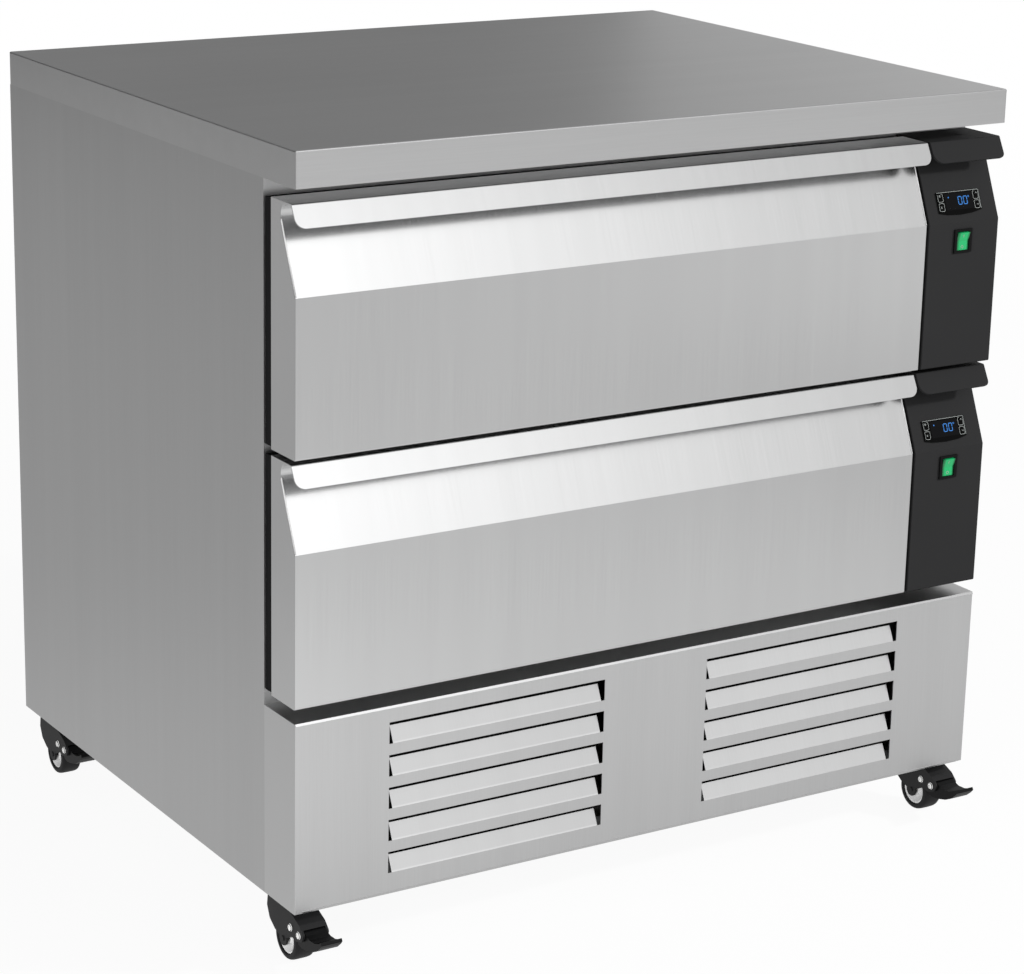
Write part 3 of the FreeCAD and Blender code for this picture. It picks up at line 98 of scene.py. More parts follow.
lens = bpy.data.cameras.new("camera")
lens.sensor_width = SENSOR_WIDTH
lens.lens = LENS_PIXELS * SENSOR_WIDTH / PICTURE_PIXELS
lens.clip_end = FARTHEST
camera = bpy.data.objects.new("camera", lens)
bpy.context.scene.collection.objects.link(camera)
camera.matrix_world = standing(EYE, RIGHT, UPWARD, -FORWARD)
bpy.context.scene.camera = camera
bpy.context.scene.view_settings.view_transform = "Standard"
print("lens", round(lens.lens, 2), "mm")

# %% [markdown]
# A material in Blender is a graph of small nodes. Written by hand, such a graph is long and hard to
# read, so two classes hide it. A `Socket` is one output of a node, and Python's own operators on it
# add Math nodes: `1 - mask` is then shader arithmetic. A `Recipe` is a material in the making. Its
# method `node` adds any node from its type, its settings and what goes into its sockets, and the
# others are short names for the nodes that most finishes need.

# %% Shader sockets as Python values
class Socket:
    """An output of a shader node that can be used in sums and products."""

    def __init__(self, recipe, socket):
        self.recipe, self.socket = recipe, socket

    def math(self, operation, *values):
        return self.recipe.node("ShaderNodeMath", {"operation": operation}, dict(enumerate(values)))

    def __add__(self, other):
        return self.math("ADD", self, other)

    def __sub__(self, other):
        return self.math("SUBTRACT", self, other)

    def __rsub__(self, other):
        return self.math("SUBTRACT", other, self)

    def __mul__(self, other):
        return self.math("MULTIPLY", self, other)

    def __truediv__(self, other):
        return self.math("DIVIDE", self, other)

    __radd__, __rmul__ = __add__, __mul__

    def exp(self):
        return self.math("EXPONENT", self)

    def ramp(self, low, high):
        """0 below low, 1 above high, and a smooth rise between them."""
        return self.recipe.node("ShaderNodeMapRange", {"interpolation_type": "SMOOTHSTEP"},
                                {0: self, 1: low, 2: high, 3: 0.0, 4: 1.0})


class Recipe:
    """A node tree under construction, of a material or of the world."""

    def __init__(self, owner):
        owner.use_nodes = True
        self.owner, self.tree = owner, owner.node_tree
        self.tree.nodes.clear()

    def node(self, kind, settings=None, inputs=None, output=0):
        """Add a node: first its settings, then values or links for its sockets. A colour is given
        without its alpha, which is 1."""
        item = self.tree.nodes.new(kind)
        for name, value in (settings or {}).items():
            setattr(item, name, value)
        for key, value in (inputs or {}).items():
            if isinstance(value, Socket):
                self.tree.links.new(value.socket, item.inputs[key])
            elif hasattr(item.inputs[key].default_value, "__len__"):
                size = len(item.inputs[key].default_value)
                item.inputs[key].default_value = (list(value) + [1.0])[:size]
            else:
                item.inputs[key].default_value = value
        return Socket(self, item.outputs[output]) if item.outputs else item

    def along(self, axis):
        """One object coordinate in metres: "X", "Y" or "Z"."""
        spot = self.node("ShaderNodeTexCoord", output="Object")
        return self.node("ShaderNodeSeparateXYZ", None, {0: spot}, output=axis)

    def place(self, *scale):
        """Object coordinates, stretched: a pattern read from them is finer along larger numbers."""
        spot = self.node("ShaderNodeTexCoord", output="Object")
        return self.node("ShaderNodeVectorMath", {"operation": "MULTIPLY"}, {0: spot, 1: scale})

    def noise(self, scale, detail=3.0, roughness=0.5):
        """Cloudy noise about 0.5 with its frequency per metre along x, y and z."""
        return self.node("ShaderNodeTexNoise", None, {"Vector": self.place(*scale), "Scale": 1.0,
                                                      "Detail": detail, "Roughness": roughness})

    def seen(self):
        """1 for what the camera sees itself, 0 for what other surfaces mirror."""
        return self.node("ShaderNodeLightPath", output="Is Camera Ray")

    def even(self, level):
        """A grey whose three parts are the same value of the shader."""
        return self.node("ShaderNodeCombineXYZ", None, {0: level, 1: level, 2: level})

    def blend(self, factor, first, second):
        """One colour that turns into another as the factor goes from 0 to 1."""
        return self.node("ShaderNodeMix", {"data_type": "RGBA"}, {0: factor, 6: first, 7: second}, output=2)

    def scaled(self, colour, factor):
        """A colour times a factor, which may change over the surface."""
        return self.node("ShaderNodeVectorMath", {"operation": "SCALE"}, {0: colour, "Scale": factor})

    def bump(self, height, distance, strength):
        """A slope for the light from a height pattern whose full height is distance in metres."""
        return self.node("ShaderNodeBump", None,
                         {"Height": height, "Distance": distance, "Strength": strength})

    def surface(self, **sockets):
        """The finished surface, with sockets such as Base_Color or Roughness."""
        shader = self.node("ShaderNodeBsdfPrincipled", None,
                           {name.replace("_", " "): value for name, value in sockets.items()})
        self.node("ShaderNodeOutputMaterial", None, {0: shader})
        return self.owner


def recipe(name):
    return Recipe(bpy.data.materials.new(name))


def grey(level, tint=(1.0, 1.0, 1.0)):
    """A grey of one level, with a tint that is close to 1 in all three parts."""
    return tuple(level * t for t in tint)


def shade(colour, factor):
    """A colour made darker or lighter, with no part above 1."""
    return tuple(min(1.0, factor * part) for part in colour)


print("shader helpers ready")

# %% [markdown]
# The studio is a wide pale floor under a soft sky. Steel shows what stands round it, so the sky
# matters more than any lamp. It is a sum of round glows: each has a direction, given by its turn
# from the front towards the right and its height, a sharpness and a strength. Its brightness is
# strength * exp(sharpness * (c - 1)), where c is the cosine of the angle to its middle. The sharp
# ones in front whiten the leaning parts of the drawers at their left end. The worktop mirrors the
# sky behind it, where three more stand. Little stands on the left, which keeps the side darker.
# The camera itself sees a white sky.

# %% Sky
# Turn and height in degrees, sharpness, strength
GLOWS = [(0, 14, 6, 0.8), (35, 14, 6, 0.28), (105, 14, 6, 0.36), (290, 14, 6, 0.18), (20, 45, 6, 0.44),
         (90, 45, 6, 0.23), (250, 45, 6, 0.1), (0, 90, 6, 0.23), (29, 31, 60, 0.26), (33, 40, 150, 0.38),
         (24, 22, 60, 0.44), (24, 34, 60, 0.41), (10, 25, 30, 0.34), (125, 20, 30, 0.63), (165, 20, 30, 0.3),
         (205, 32, 30, 0.4)]
WHITE = (1, 1, 1)


def heading(turn, height):
    """The unit vector at a turn from -y towards +x and a height above the horizon, in degrees."""
    a, e = radians(turn), radians(height)
    return sin(a) * cos(e), -cos(a) * cos(e), sin(e)


world = bpy.data.worlds.new("studio")
bpy.context.scene.world = world
sky = Recipe(world)
direction = sky.node("ShaderNodeTexCoord", output="Generated")
glow = 0.0
for turn, height, sharpness, strength in GLOWS:
    facing = sky.node("ShaderNodeVectorMath", {"operation": "DOT_PRODUCT"},
                      {0: direction, 1: heading(turn, height)}, output="Value")
    glow = glow + strength * (float(sharpness) * (facing - 1.0)).exp()
background = sky.node("ShaderNodeBackground", None,
                      {"Color": sky.blend(sky.seen(), sky.even(glow), WHITE), "Strength": 1.0})
sky.node("ShaderNodeOutputWorld", None, {0: background})
print("sky of", len(GLOWS), "glows")

# %% [markdown]
# The floor has two jobs. The camera sees it almost white, but near the unit a few percent of it are
# real paint, on which the unit's shadow falls, and that share fades with the distance. For the
# steel and for all other surfaces it is a bright plane with soft pools of light, because the
# upright faces mirror it: each pool falls off as a bell curve round its middle. One pool has a
# strength below zero, so it is a patch that is a little darker.

# %% Floor
FLOOR_REACH = 7.0
FLOOR_LIGHT = 0.44
SHADOW_SHARE, SHADOW_FADE = 0.07, 0.12
# Middle in x and y, radius, all in metres, and strength
POOLS = [(0.9, -1.7, 0.8, 0.07), (0.1, -0.9, 0.5, 0.11), (1.0, -0.9, 0.5, 0.18), (-0.3, -2.0, 0.8, 0.19),
         (3.0, -3.1, 0.9, 0.46), (2.2, -2.4, 0.6, 0.03), (-0.7, 0.3, 0.4, 0.11), (1.2, -3.4, 0.9, 0.17),
         (-0.5, -1.0, 0.4, 0.34), (1.4, -2.35, 0.45, -0.03)]

corners = np.array([[-1, -1], [1, -1], [1, 1], [-1, 1]]) * FLOOR_REACH
plan = bpy.data.meshes.new("floor")
plan.from_pydata([(*corner, 0.0) for corner in corners], [], [(0, 1, 2, 3)])
floor = bpy.data.objects.new("floor", plan)
bpy.context.scene.collection.objects.link(floor)
pale = recipe("pale_floor")
x, y = pale.along("X"), pale.along("Y")
light = FLOOR_LIGHT
for pool_x, pool_y, radius, strength in POOLS:
    across, ahead = (x - pool_x) / radius, (y - pool_y) / radius
    light = light + strength * (-0.5 * (across * across + ahead * ahead)).exp()
paint = pale.node("ShaderNodeBsdfDiffuse", None, {0: grey(0.85)})
white = pale.node("ShaderNodeEmission", None, {0: pale.blend(pale.seen(), pale.even(light), WHITE), 1: 1.0})
near = (-SHADOW_FADE * (x * x + y * y)).exp()
mixed = pale.node("ShaderNodeMixShader", None,
                  {0: 1.0 - SHADOW_SHARE * pale.seen() * near, 1: paint, 2: white})
pale.node("ShaderNodeOutputMaterial", None, {0: mixed})
plan.materials.append(pale.owner)
print("floor", 2 * FLOOR_REACH, "m wide")

# %% [markdown]
# Two wide lamps on the right and behind lighten that end of the worktop. Two more are for the
# plastics alone, and the steel does not mirror them: a small one in front on the right throws the
# crisp shadow of each handle lip on its black housing, and a wide one low on the left brings out
# the white rims of the casters. A lamp's strength is written as radiance, the brightness that a
# mirror would show, and its power is that times pi and its area.

# %% Lamps
def lamp(name, place, target, size, radiance, mirrored=True):
    """A rectangular lamp at a place, turned towards a target, both in metres."""
    light = bpy.data.lights.new(name, "AREA")
    light.shape, light.size, light.size_y = "RECTANGLE", size[0], size[1]
    light.energy = radiance * pi * size[0] * size[1]
    item = bpy.data.objects.new(name, light)
    bpy.context.scene.collection.objects.link(item)
    item.visible_glossy = mirrored
    away = np.array(place, float) - np.array(target, float)
    away /= np.linalg.norm(away)
    across = np.cross([0, 0, 1], away)
    across /= np.linalg.norm(across)
    item.matrix_world = standing(place, across, np.cross(away, across), away)


lamp("right_side", (2.3, 0.3, 1.5), (0, -0.3, 0.6), (1.0, 1.0), 0.26)
lamp("right_back", (2.0, 1.8, 1.4), (0, -0.3, 0.6), (1.0, 1.0), 0.26)
lamp("crisp_front", (2.4, -2.1, 1.87), (0.4, -0.33, 0.65), (0.22, 0.22), 500, mirrored=False)
lamp("low_left", (-2.2, -1.6, 0.7), (-0.2, -0.2, 0.1), (1.2, 0.8), 14, mirrored=False)
print("four lamps")

# %% [markdown]
# Nearly everything here is stainless sheet. A real sheet is brushed: thousands of fine scratches
# run one way, so the grain is a noise pattern that is squeezed across the scratches and pulled
# out along them. It changes the colour by a few percent, the roughness a little more, and gives a
# very low bump. A second, wider pattern adds the faint bands that rolling and polishing leave, and
# a third without any direction the clouds that a cloth leaves.
#
# Every finish is kept under its name, which is the name that the model's solids ask for.

# %% Brushed steel
STEEL_TINT = (0.998, 1.0, 1.002)
# Which of x, y and z cross the scratches, by the axis along which they run. The front's upright
# scratches cross x alone, the side's cross y alone.
CROSSED = {"x": (0, 1, 1), "y": (1, 0, 1), "z": (1, 0, 0), "side": (0, 1, 0)}
finishes = {}


def make_finishes(make, looks):
    """Several finishes of one kind: each name goes to the function with its own numbers."""
    for name, look in looks.items():
        finishes[name] = make(name, **look)


def grained(steel, grain, along, across, **pattern):
    """Noise with a low frequency along the scratches and a high one across them."""
    return steel.noise([across if crossed else along for crossed in CROSSED[grain]], **pattern)


def brushed_steel(name, level, roughness, grain, bands=0.06, metal=1.0, painted_light=None):
    """Stainless sheet. level is its brightness, and the last argument, when given, is a function from
    the recipe to a factor that paints shade and light on some places."""
    steel = recipe(name)
    scratches = grained(steel, grain, 9, 600, detail=4.0, roughness=0.6)
    rolled = grained(steel, grain, 0.8, 600 / 14, detail=2.0)
    cloudy = steel.noise((3.1, 3.1, 3.1), detail=2.0)
    tone = 1 + 0.10 * (scratches - 0.5) + bands * (rolled - 0.5) + 0.05 * (cloudy - 0.5)
    if painted_light:
        tone = tone * painted_light(steel)
    matt = roughness + 0.10 * (scratches - 0.5) + 0.06 * (cloudy - 0.5)
    return steel.surface(Base_Color=steel.scaled(grey(level, STEEL_TINT), tone), Metallic=metal,
                         Roughness=matt, Normal=steel.bump(scratches, distance=0.00002, strength=0.25))


def painted_louvre_light(steel):
    """Painted shade and light on the kick panel: the louvre tabs, pressed inward, get a darker
    colour, the left ones more, and the panel's two side returns a slightly lighter one. Both lie
    behind the panel's front plane."""
    front, half = FRONT_Y / 1000, WIDTH / 2000
    x, y = steel.along("X"), steel.along("Y")
    behind = y.ramp(front + 0.0003, front + 0.0010)
    at_side = (x * x).ramp((half - 0.002) ** 2, (half - 0.001) ** 2)
    # Painted shade: the tabs' colour darkens by up to 14 percent, most on the left, and the side returns get
    # 6 percent of painted light.
    tab_painted_shade = 0.14 * (1 - x.ramp(-0.10, 0.20))
    return 1 + behind * (0.06 * at_side - tab_painted_shade * (1 - at_side))


make_finishes(brushed_steel, {
    "worktop_steel": dict(level=0.695, roughness=0.36, grain="x"),
    "panel_steel": dict(level=0.655, roughness=0.38, grain="side"),
    # The kick panel's factor paints shade on its louvre tabs and light on its side returns.
    "kick_steel": dict(level=0.68, roughness=0.36, grain="z", painted_light=painted_louvre_light),
    "drawer_steel": dict(level=0.70, roughness=0.22, grain="z"),
    "liner_steel": dict(level=0.66, roughness=0.32, grain="x", metal=0.55),
    "rail_steel": dict(level=0.62, roughness=0.30, grain="y", bands=0.01),
})
print(len(finishes), "steels")

# %% [markdown]
# The back, the base tray and the condensers' shrouds are galvanised. Zinc sets in flat crystals,
# each of which reflects a little differently, so a cell pattern gives every crystal its own grey
# and its own roughness. The casters' plates carry a thin zinc skin instead, without crystals, and
# copper tubes and aluminium fins follow the same simple recipe.

# %% Galvanised and plated sheet
def galvanised(name):
    """Hot-dip zinc: Voronoi crystals some 8 mm wide, broken up by fine noise."""
    zinc = recipe(name)
    cells = zinc.node("ShaderNodeTexVoronoi", None, {"Vector": zinc.place(1, 1, 1), "Scale": 130.0},
                      output="Color")
    crystal = zinc.node("ShaderNodeSeparateColor", None, {0: cells})
    mask = 0.7 * crystal + 0.3 * zinc.noise((40, 40, 40), detail=4.0)
    colour = zinc.blend(mask, grey(0.36, (0.97, 1.0, 1.02)), grey(0.56, (0.98, 1.0, 1.01)))
    return zinc.surface(Base_Color=colour, Metallic=0.9, Roughness=0.38 + 0.22 * mask)


def plated(name, colour, roughness, metal=1.0):
    """A thin bright metal skin with slight clouds."""
    skin = recipe(name)
    cloudy = skin.noise((160, 160, 160))
    return skin.surface(Base_Color=skin.blend(cloudy, shade(colour, 0.8), shade(colour, 1.15)),
                        Metallic=metal, Roughness=roughness + 0.15 * (cloudy - 0.5))


make_finishes(galvanised, {"galvanised": {}})
make_finishes(plated, {
    "zinc": dict(colour=(0.58, 0.57, 0.53), roughness=0.36),
    "copper": dict(colour=(0.62, 0.33, 0.21), roughness=0.34),
    "coil_aluminium": dict(colour=(0.62, 0.63, 0.64), roughness=0.42),
})
print("plated finishes added")

# %% [markdown]
# Moulded plastic is never one flat tone. The tool's surface leaves a fine texture, here a low bump
# of dense noise, and the gloss varies a little over each face. One recipe serves the housings, the
# bezels, the caster parts, the trays and the inner panels, with other numbers for each. Rubber,
# foam and enamelled iron follow the same recipe with a coarser texture.

# %% Moulded plastic, rubber, foam and enamel
def moulded(name, colour, roughness, texture=900.0, depth=0.00003, spread=0.12, specular=0.5):
    """Plastic with tool texture: texture is the bump's frequency per metre and depth its height in
    metres, spread is the share by which the tone changes, and specular the strength of its shine."""
    skin = recipe(name)
    fine = skin.noise((texture, texture, texture), detail=2.0)
    cloudy = skin.noise((14, 14, 14))
    mask = 0.5 * fine + 0.5 * cloudy
    return skin.surface(Base_Color=skin.blend(mask, shade(colour, 1 - spread), shade(colour, 1 + spread)),
                        Roughness=roughness + 0.14 * (cloudy - 0.5), Specular_IOR_Level=specular,
                        Normal=skin.bump(fine, distance=depth, strength=0.4))


def rocker_with_painted_glow(name, dark, bright):
    """Clear plastic over a lamp whose glow is painted into the colour: bright in the middle of its
    width, darker towards both sides.
    """
    skin = recipe(name)
    x = skin.along("X")
    middle = x.ramp(0.3910, 0.3950) * (1 - x.ramp(0.4040, 0.4065))
    cloudy = skin.noise((300, 300, 300), detail=2.0)
    return skin.surface(Base_Color=skin.scaled(skin.blend(middle, dark, bright), 0.9 + 0.2 * cloudy),
                        Roughness=0.24)


make_finishes(moulded, {
    "black_plastic": dict(colour=(0.0225, 0.0225, 0.023), roughness=0.6, specular=0.06),
    "controller_black": dict(colour=(0.002, 0.002, 0.002), roughness=0.5, specular=0.05),
    "switch_black": dict(colour=(0.004, 0.004, 0.004), roughness=0.45, specular=0.12),
    "key_black": dict(colour=(0.003, 0.003, 0.003), roughness=0.5, specular=0.06),
    "inner_panel": dict(colour=(0.62, 0.63, 0.64), roughness=0.42, spread=0.04),
    "tray_plastic": dict(colour=(0.04, 0.04, 0.043), roughness=0.5),
    "caster_grey": dict(colour=(0.016, 0.016, 0.0165), roughness=0.45, specular=0.2),
    "pedal_black": dict(colour=(0.004, 0.004, 0.0042), roughness=0.36, specular=0.15),
    "fan_black": dict(colour=(0.025, 0.025, 0.026), roughness=0.45),
    "gasket_rubber": dict(colour=(0.008, 0.008, 0.0085), roughness=0.70, texture=400, depth=0.00006,
                          specular=0.12),
    "caster_tyre": dict(colour=(0.010, 0.010, 0.0105), roughness=0.5, texture=300, depth=0.0001,
                        spread=0.35, specular=0.25),
    "foam": dict(colour=(0.72, 0.62, 0.38), roughness=0.85, texture=260, depth=0.0004, spread=0.1),
    "compressor_black": dict(colour=(0.020, 0.020, 0.021), roughness=0.30, texture=220, depth=0.0001),
    # Black for the condensers' fins, which makes the louvres look dark.
    "coil_black": dict(colour=(0.012, 0.012, 0.012), roughness=0.6, texture=220, specular=0.1),
    "motor_grey": dict(colour=(0.16, 0.165, 0.17), roughness=0.42, texture=300),
})
# The rocker's bright middle is a painted glow: colour only, with no light of its own.
make_finishes(rocker_with_painted_glow, {"rocker_green": dict(dark=(0.003, 0.13, 0.04), bright=(0.008, 0.37, 0.115))})
print(len(finishes), "finishes so far")

# %% [markdown]
# Every solid of the model already names the finish it should have. So dressing the model is one
# short loop: look up the slot in the record, and put the material of that name on the mesh. Only
# the two condensers differ: their fins get a black finish in place of their aluminium, which makes
# the louvres look dark.

# %% Dress the model
for part in frame["record"]["subparts"]:
    mesh = frame["nodes"][part["node"]].data
    mesh.materials.clear()
    mesh.materials.append(finishes["coil_black" if part["node"] == "condensers" else part["material_slot"]])

# %% [markdown]
# New pieces are surfaces worked out in numpy. Each is a grid of points with two parameters, so all
# need the same thing afterwards: four-sided faces between neighbouring points, with the grid
# joined to itself where it closes. `add_piece` makes the mesh and hands it to the body it rides on.
#
# Three ways to a shape come back in the next cells: a profile turned round an axis, an outline with
# a thickness, and a line of constant width. The last two are drawn flat, and a function that each
# cell brings along takes their points to the face they lie on.

# %% Surface helpers
MITRE_LIMIT = 0.3


def quads(rows, columns, wrap_rows=False, wrap_columns=False):
    """Faces of a grid of points: each joins point (i, j) with its neighbours at i + 1 and j + 1."""
    i, j = np.meshgrid(np.arange(rows - (not wrap_rows)), np.arange(columns - (not wrap_columns)),
                       indexing="ij")
    i, j = i.ravel(), j.ravel()
    a, b = i * columns + j, i * columns + (j + 1) % columns
    c, d = (i + 1) % rows * columns + (j + 1) % columns, (i + 1) % rows * columns + j
    return np.stack([a, b, c, d], axis=1)


def add_piece(name, points, faces, finish, body, slot, smooth=True):
    """A mesh from points in cabinet millimetres and lists of faces, riding on a body."""
    mesh = bpy.data.meshes.new(name)
    mesh.from_pydata(metres(points).tolist(), [], [list(map(int, face)) for face in faces])
    mesh.polygons.foreach_set("use_smooth", np.full(len(mesh.polygons), smooth))
    mesh.materials.append(finishes[finish])
    mesh.validate()
    item = bpy.data.objects.new(name, mesh)
    bpy.context.scene.collection.objects.link(item)
    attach(item, body)
    return item


def joined(shapes):
    """Several (points, faces) as one, with the faces' numbers moved along."""
    points, faces, start = [], [], 0
    for some_points, some_faces in shapes:
        points.append(np.asarray(some_points, float))
        faces += [[int(n) + start for n in face] for face in some_faces]
        start += len(some_points)
    return np.concatenate(points), faces


def turned_profile(profile, centre, segments):
    """A closed profile of (along, radius) pairs turned round the x axis through a centre: every
    point goes round a circle, at radius * cos(turn) in y and radius * sin(turn) in z."""
    profile = np.asarray(profile, float)
    turn = np.linspace(0, 2 * pi, segments, endpoint=False)
    along = np.repeat(profile[:, 0], segments)
    level = np.outer(profile[:, 1], np.cos(turn)).ravel()
    raised = np.outer(profile[:, 1], np.sin(turn)).ravel()
    points = np.stack([along, level, raised], axis=1) + np.asarray(centre, float)
    return points, quads(len(profile), segments, True, True)[:, ::-1]


def slab(outline, heights, spot):
    """A flat shape with a thickness: its outline at two heights, joined by a wall. spot takes
    arrays of (across, along, out) to points in space."""
    outline = np.asarray(outline, float)
    count = len(outline)
    lower, upper = (spot(outline[:, 0], outline[:, 1], np.full(count, height)) for height in heights)
    ring = np.arange(count)
    walls = np.stack([ring, (ring + 1) % count, (ring + 1) % count + count, ring + count], axis=1)
    return np.concatenate([lower, upper]), [list(ring[::-1]), list(ring + count)] + walls.tolist()


def line(path, width, heights, spot, closed=False):
    """A flat line of constant width along a path: each point moves half the width to both sides
    along the mitre of its two edges, at two heights, and the four rails are joined. The mitre's
    reach is half the width divided by the cosine of half the bend, but by no less than the limit."""
    path = np.asarray(path, float)
    ahead = np.roll(path, -1, axis=0) - path
    behind = path - np.roll(path, 1, axis=0)
    if not closed:
        ahead[-1], behind[0] = behind[-1], ahead[0]
    ahead /= np.linalg.norm(ahead, axis=1)[:, None]
    behind /= np.linalg.norm(behind, axis=1)[:, None]
    mitre = ahead + behind
    mitre /= np.linalg.norm(mitre, axis=1)[:, None]
    across = np.stack([-mitre[:, 1], mitre[:, 0]], axis=1)
    reach = width / 2 / np.maximum(MITRE_LIMIT, (mitre * ahead).sum(axis=1))[:, None]
    right, left = path - across * reach, path + across * reach
    low, high = heights
    rails = [spot(side[:, 0], side[:, 1], np.full(len(path), height))
             for side, height in ((right, low), (right, high), (left, high), (left, low))]
    points = np.stack(rails, axis=1).reshape(-1, 3)
    faces = [list(face[::-1]) for face in quads(len(path), 4, closed, True)]
    if not closed:
        last = 4 * (len(path) - 1)
        faces += [[3, 2, 1, 0], [last, last + 1, last + 2, last + 3]]
    return points, faces


def rounded(left, low, width, height, radius, steps=6):
    """A rectangle with round corners, as points that run anticlockwise: each corner is a quarter
    circle, radius * (cos, sin) about a centre that lies one radius inside both edges."""
    near_x, far_x = left + radius, left + width - radius
    near_y, far_y = low + radius, low + height - radius
    corners = []
    for quarter, (x, y) in enumerate(((far_x, far_y), (near_x, far_y), (near_x, near_y), (far_x, near_y))):
        turn = np.linspace(0, pi / 2, steps) + quarter * pi / 2
        corners.append(np.stack([x + radius * np.cos(turn), y + radius * np.sin(turn)], axis=1))
    return np.concatenate(corners)


def circle(x, y, radius, count):
    """(x, y) + radius * (cos, sin) of a turn in equal steps."""
    turn = np.linspace(0, 2 * pi, count, endpoint=False)
    return np.stack([x + radius * np.cos(turn), y + radius * np.sin(turn)], axis=1)


print("surface helpers ready")

# %% [markdown]
# The controller lies on the leaning face of its housing. A small set of coordinates of its own
# makes it easy to draw on: across from the left side of the cabinet, along the slope up from the
# bend, and out from the face. Each housing has the same face, one drawer higher or lower.

# %% The leaning face
SLANT_RUN, SLANT_HEIGHT = 38.0, 89.5
LEAN = atan(SLANT_RUN / SLANT_HEIGHT)
UP_SLOPE = np.array([0, sin(LEAN), cos(LEAN)])
OFF_SLOPE = np.array([0, -cos(LEAN), sin(LEAN)])


def on_slope(level):
    """A function from (across, along, out) on a leaning face to cabinet millimetres: the bend's
    place plus each number times its own direction."""
    bend = np.array([0, 0, BASES[level] + BEND])

    def spot(across, along, out):
        return bend + np.outer(across, [1, 0, 0]) + np.outer(along, UP_SLOPE) + np.outer(out, OFF_SLOPE)
    return spot


print("slope leans", round(LEAN * 180 / pi, 1), "degrees")

# %% [markdown]
# A seven-segment digit is seven slim hexagons. The outline of one is written once, lying down; the
# other segments are the same outline moved or stood on end. A nought lights all but the middle
# one. Two of them, a degree ring and a small round lamp are all that shows on the dark window. A
# thin frame is printed round each key's place, and an angled line along the bezel's upper and
# right edges.

# %% Display
BEZEL_LEFT, BEZEL_LOW, BEZEL_WIDTH = 816, 12, 61
BEZEL_FACE = 1.6
WINDOW_HEIGHTS = (BEZEL_FACE - 0.1, BEZEL_FACE + 0.12)
LIT_HEIGHTS = (BEZEL_FACE + 0.1, BEZEL_FACE + 0.2)
PRINT_HEIGHTS = (BEZEL_FACE - 0.05, BEZEL_FACE + 0.06)
WINDOW = dict(left=827.2, low=14.2, width=39.6, height=19.0, radius=1.2)
DIGIT = dict(low=19.4, width=5.8, height=9.8, thick=0.95)
DIGIT_LEFTS = (845.4, 853.0)
DEGREE_RING = dict(x=861.0, y=28.2, radius=0.85, count=16)
ROUND_LAMP = dict(x=832.4, y=28.9, radius=0.8, count=20)
EDGE_LINE = [[817.0, 35.1], [875.6, 35.1], [876.4, 34.7], [876.6, 33.9], [876.6, 13.5]]
KEY_FRAME = dict(width=7.2, height=9.0, radius=1.6, steps=5)
KEY_FRAME_LEFTS, KEY_FRAME_LOWS = (817.5, 868.3), (13.9, 24.6)
SEGMENT_GAP = 0.3
WIDE_PRINT, SLIM_PRINT = 0.45, 0.42


def emitter(name, colour, strength):
    """Lit plastic: the light is uneven by a few percent, as behind a moulded lens."""
    lit = recipe(name)
    cloudy = lit.noise((500, 500, 500), detail=2.0)
    return lit.surface(Base_Color=shade(colour, 0.2), Roughness=0.3,
                       Emission_Color=lit.scaled(colour, 0.9 + 0.2 * cloudy), Emission_Strength=strength)


def segment(x, y, length, thick, upright):
    """A hexagon about (x, y): a bar whose two ends taper to a point."""
    half, point = length / 2, thick / 2
    bar = np.array([[-half, 0], [point - half, -point], [half - point, -point], [half, 0],
                    [half - point, point], [point - half, point]])
    return (bar[:, ::-1] * [-1, 1] if upright else bar) + [x, y]


def nought(left, low, width, height, thick):
    """The six outer segments of a digit: two lying bars, and two upright ones on each side."""
    reach, half = width - thick, height / 2 - thick / 2
    lying = [segment(left + width / 2, y, reach - SEGMENT_GAP, thick, False)
             for y in (low + thick / 2, low + height - thick / 2)]
    upright = [segment(x, low + height / 2 + s * half / 2, half - SEGMENT_GAP, thick, True)
               for x in (left + thick / 2, left + width - thick / 2) for s in (-1, 1)]
    return lying + upright


make_finishes(emitter, {"display_blue": dict(colour=(0.03, 0.19, 0.56), strength=1.0)})
make_finishes(moulded, {
    "printed_grey": dict(colour=(0.30, 0.32, 0.31), roughness=0.5, spread=0.06),
    "window_black": dict(colour=(0.0015, 0.0015, 0.002), roughness=0.25, texture=200, depth=0.000005,
                         specular=0.10),
})
for level in BASES:
    spot = on_slope(level)
    shown = [slab(bar, LIT_HEIGHTS, spot) for left in DIGIT_LEFTS for bar in nought(left, **DIGIT)]
    shown.append(line(circle(**DEGREE_RING), WIDE_PRINT, LIT_HEIGHTS, spot, closed=True))
    shown.append(slab(circle(**ROUND_LAMP), LIT_HEIGHTS, spot))
    printed = [line(EDGE_LINE, WIDE_PRINT, PRINT_HEIGHTS, spot)]
    printed += [line(rounded(left, low, **KEY_FRAME), SLIM_PRINT, PRINT_HEIGHTS, spot, closed=True)
                for left in KEY_FRAME_LEFTS for low in KEY_FRAME_LOWS]
    window = slab(rounded(**WINDOW), WINDOW_HEIGHTS, spot)
    for name, shape, finish in (("display_window", window, "window_black"),
                                ("display_digits", joined(shown), "display_blue"),
                                ("bezel_print", joined(printed), "printed_grey")):
        add_piece(f"{name}_{level}", *shape, finish, "cabinet", "controller_black", smooth=False)
print("displays made")

# %% [markdown]
# Each key carries a small sign: bars on the left pair, arrowheads on the right pair. They are lines
# of constant width with a little thickness, and they belong to the key, so that they go in with it
# when it is pressed. The thin frames printed round the keys stay on the bezel.

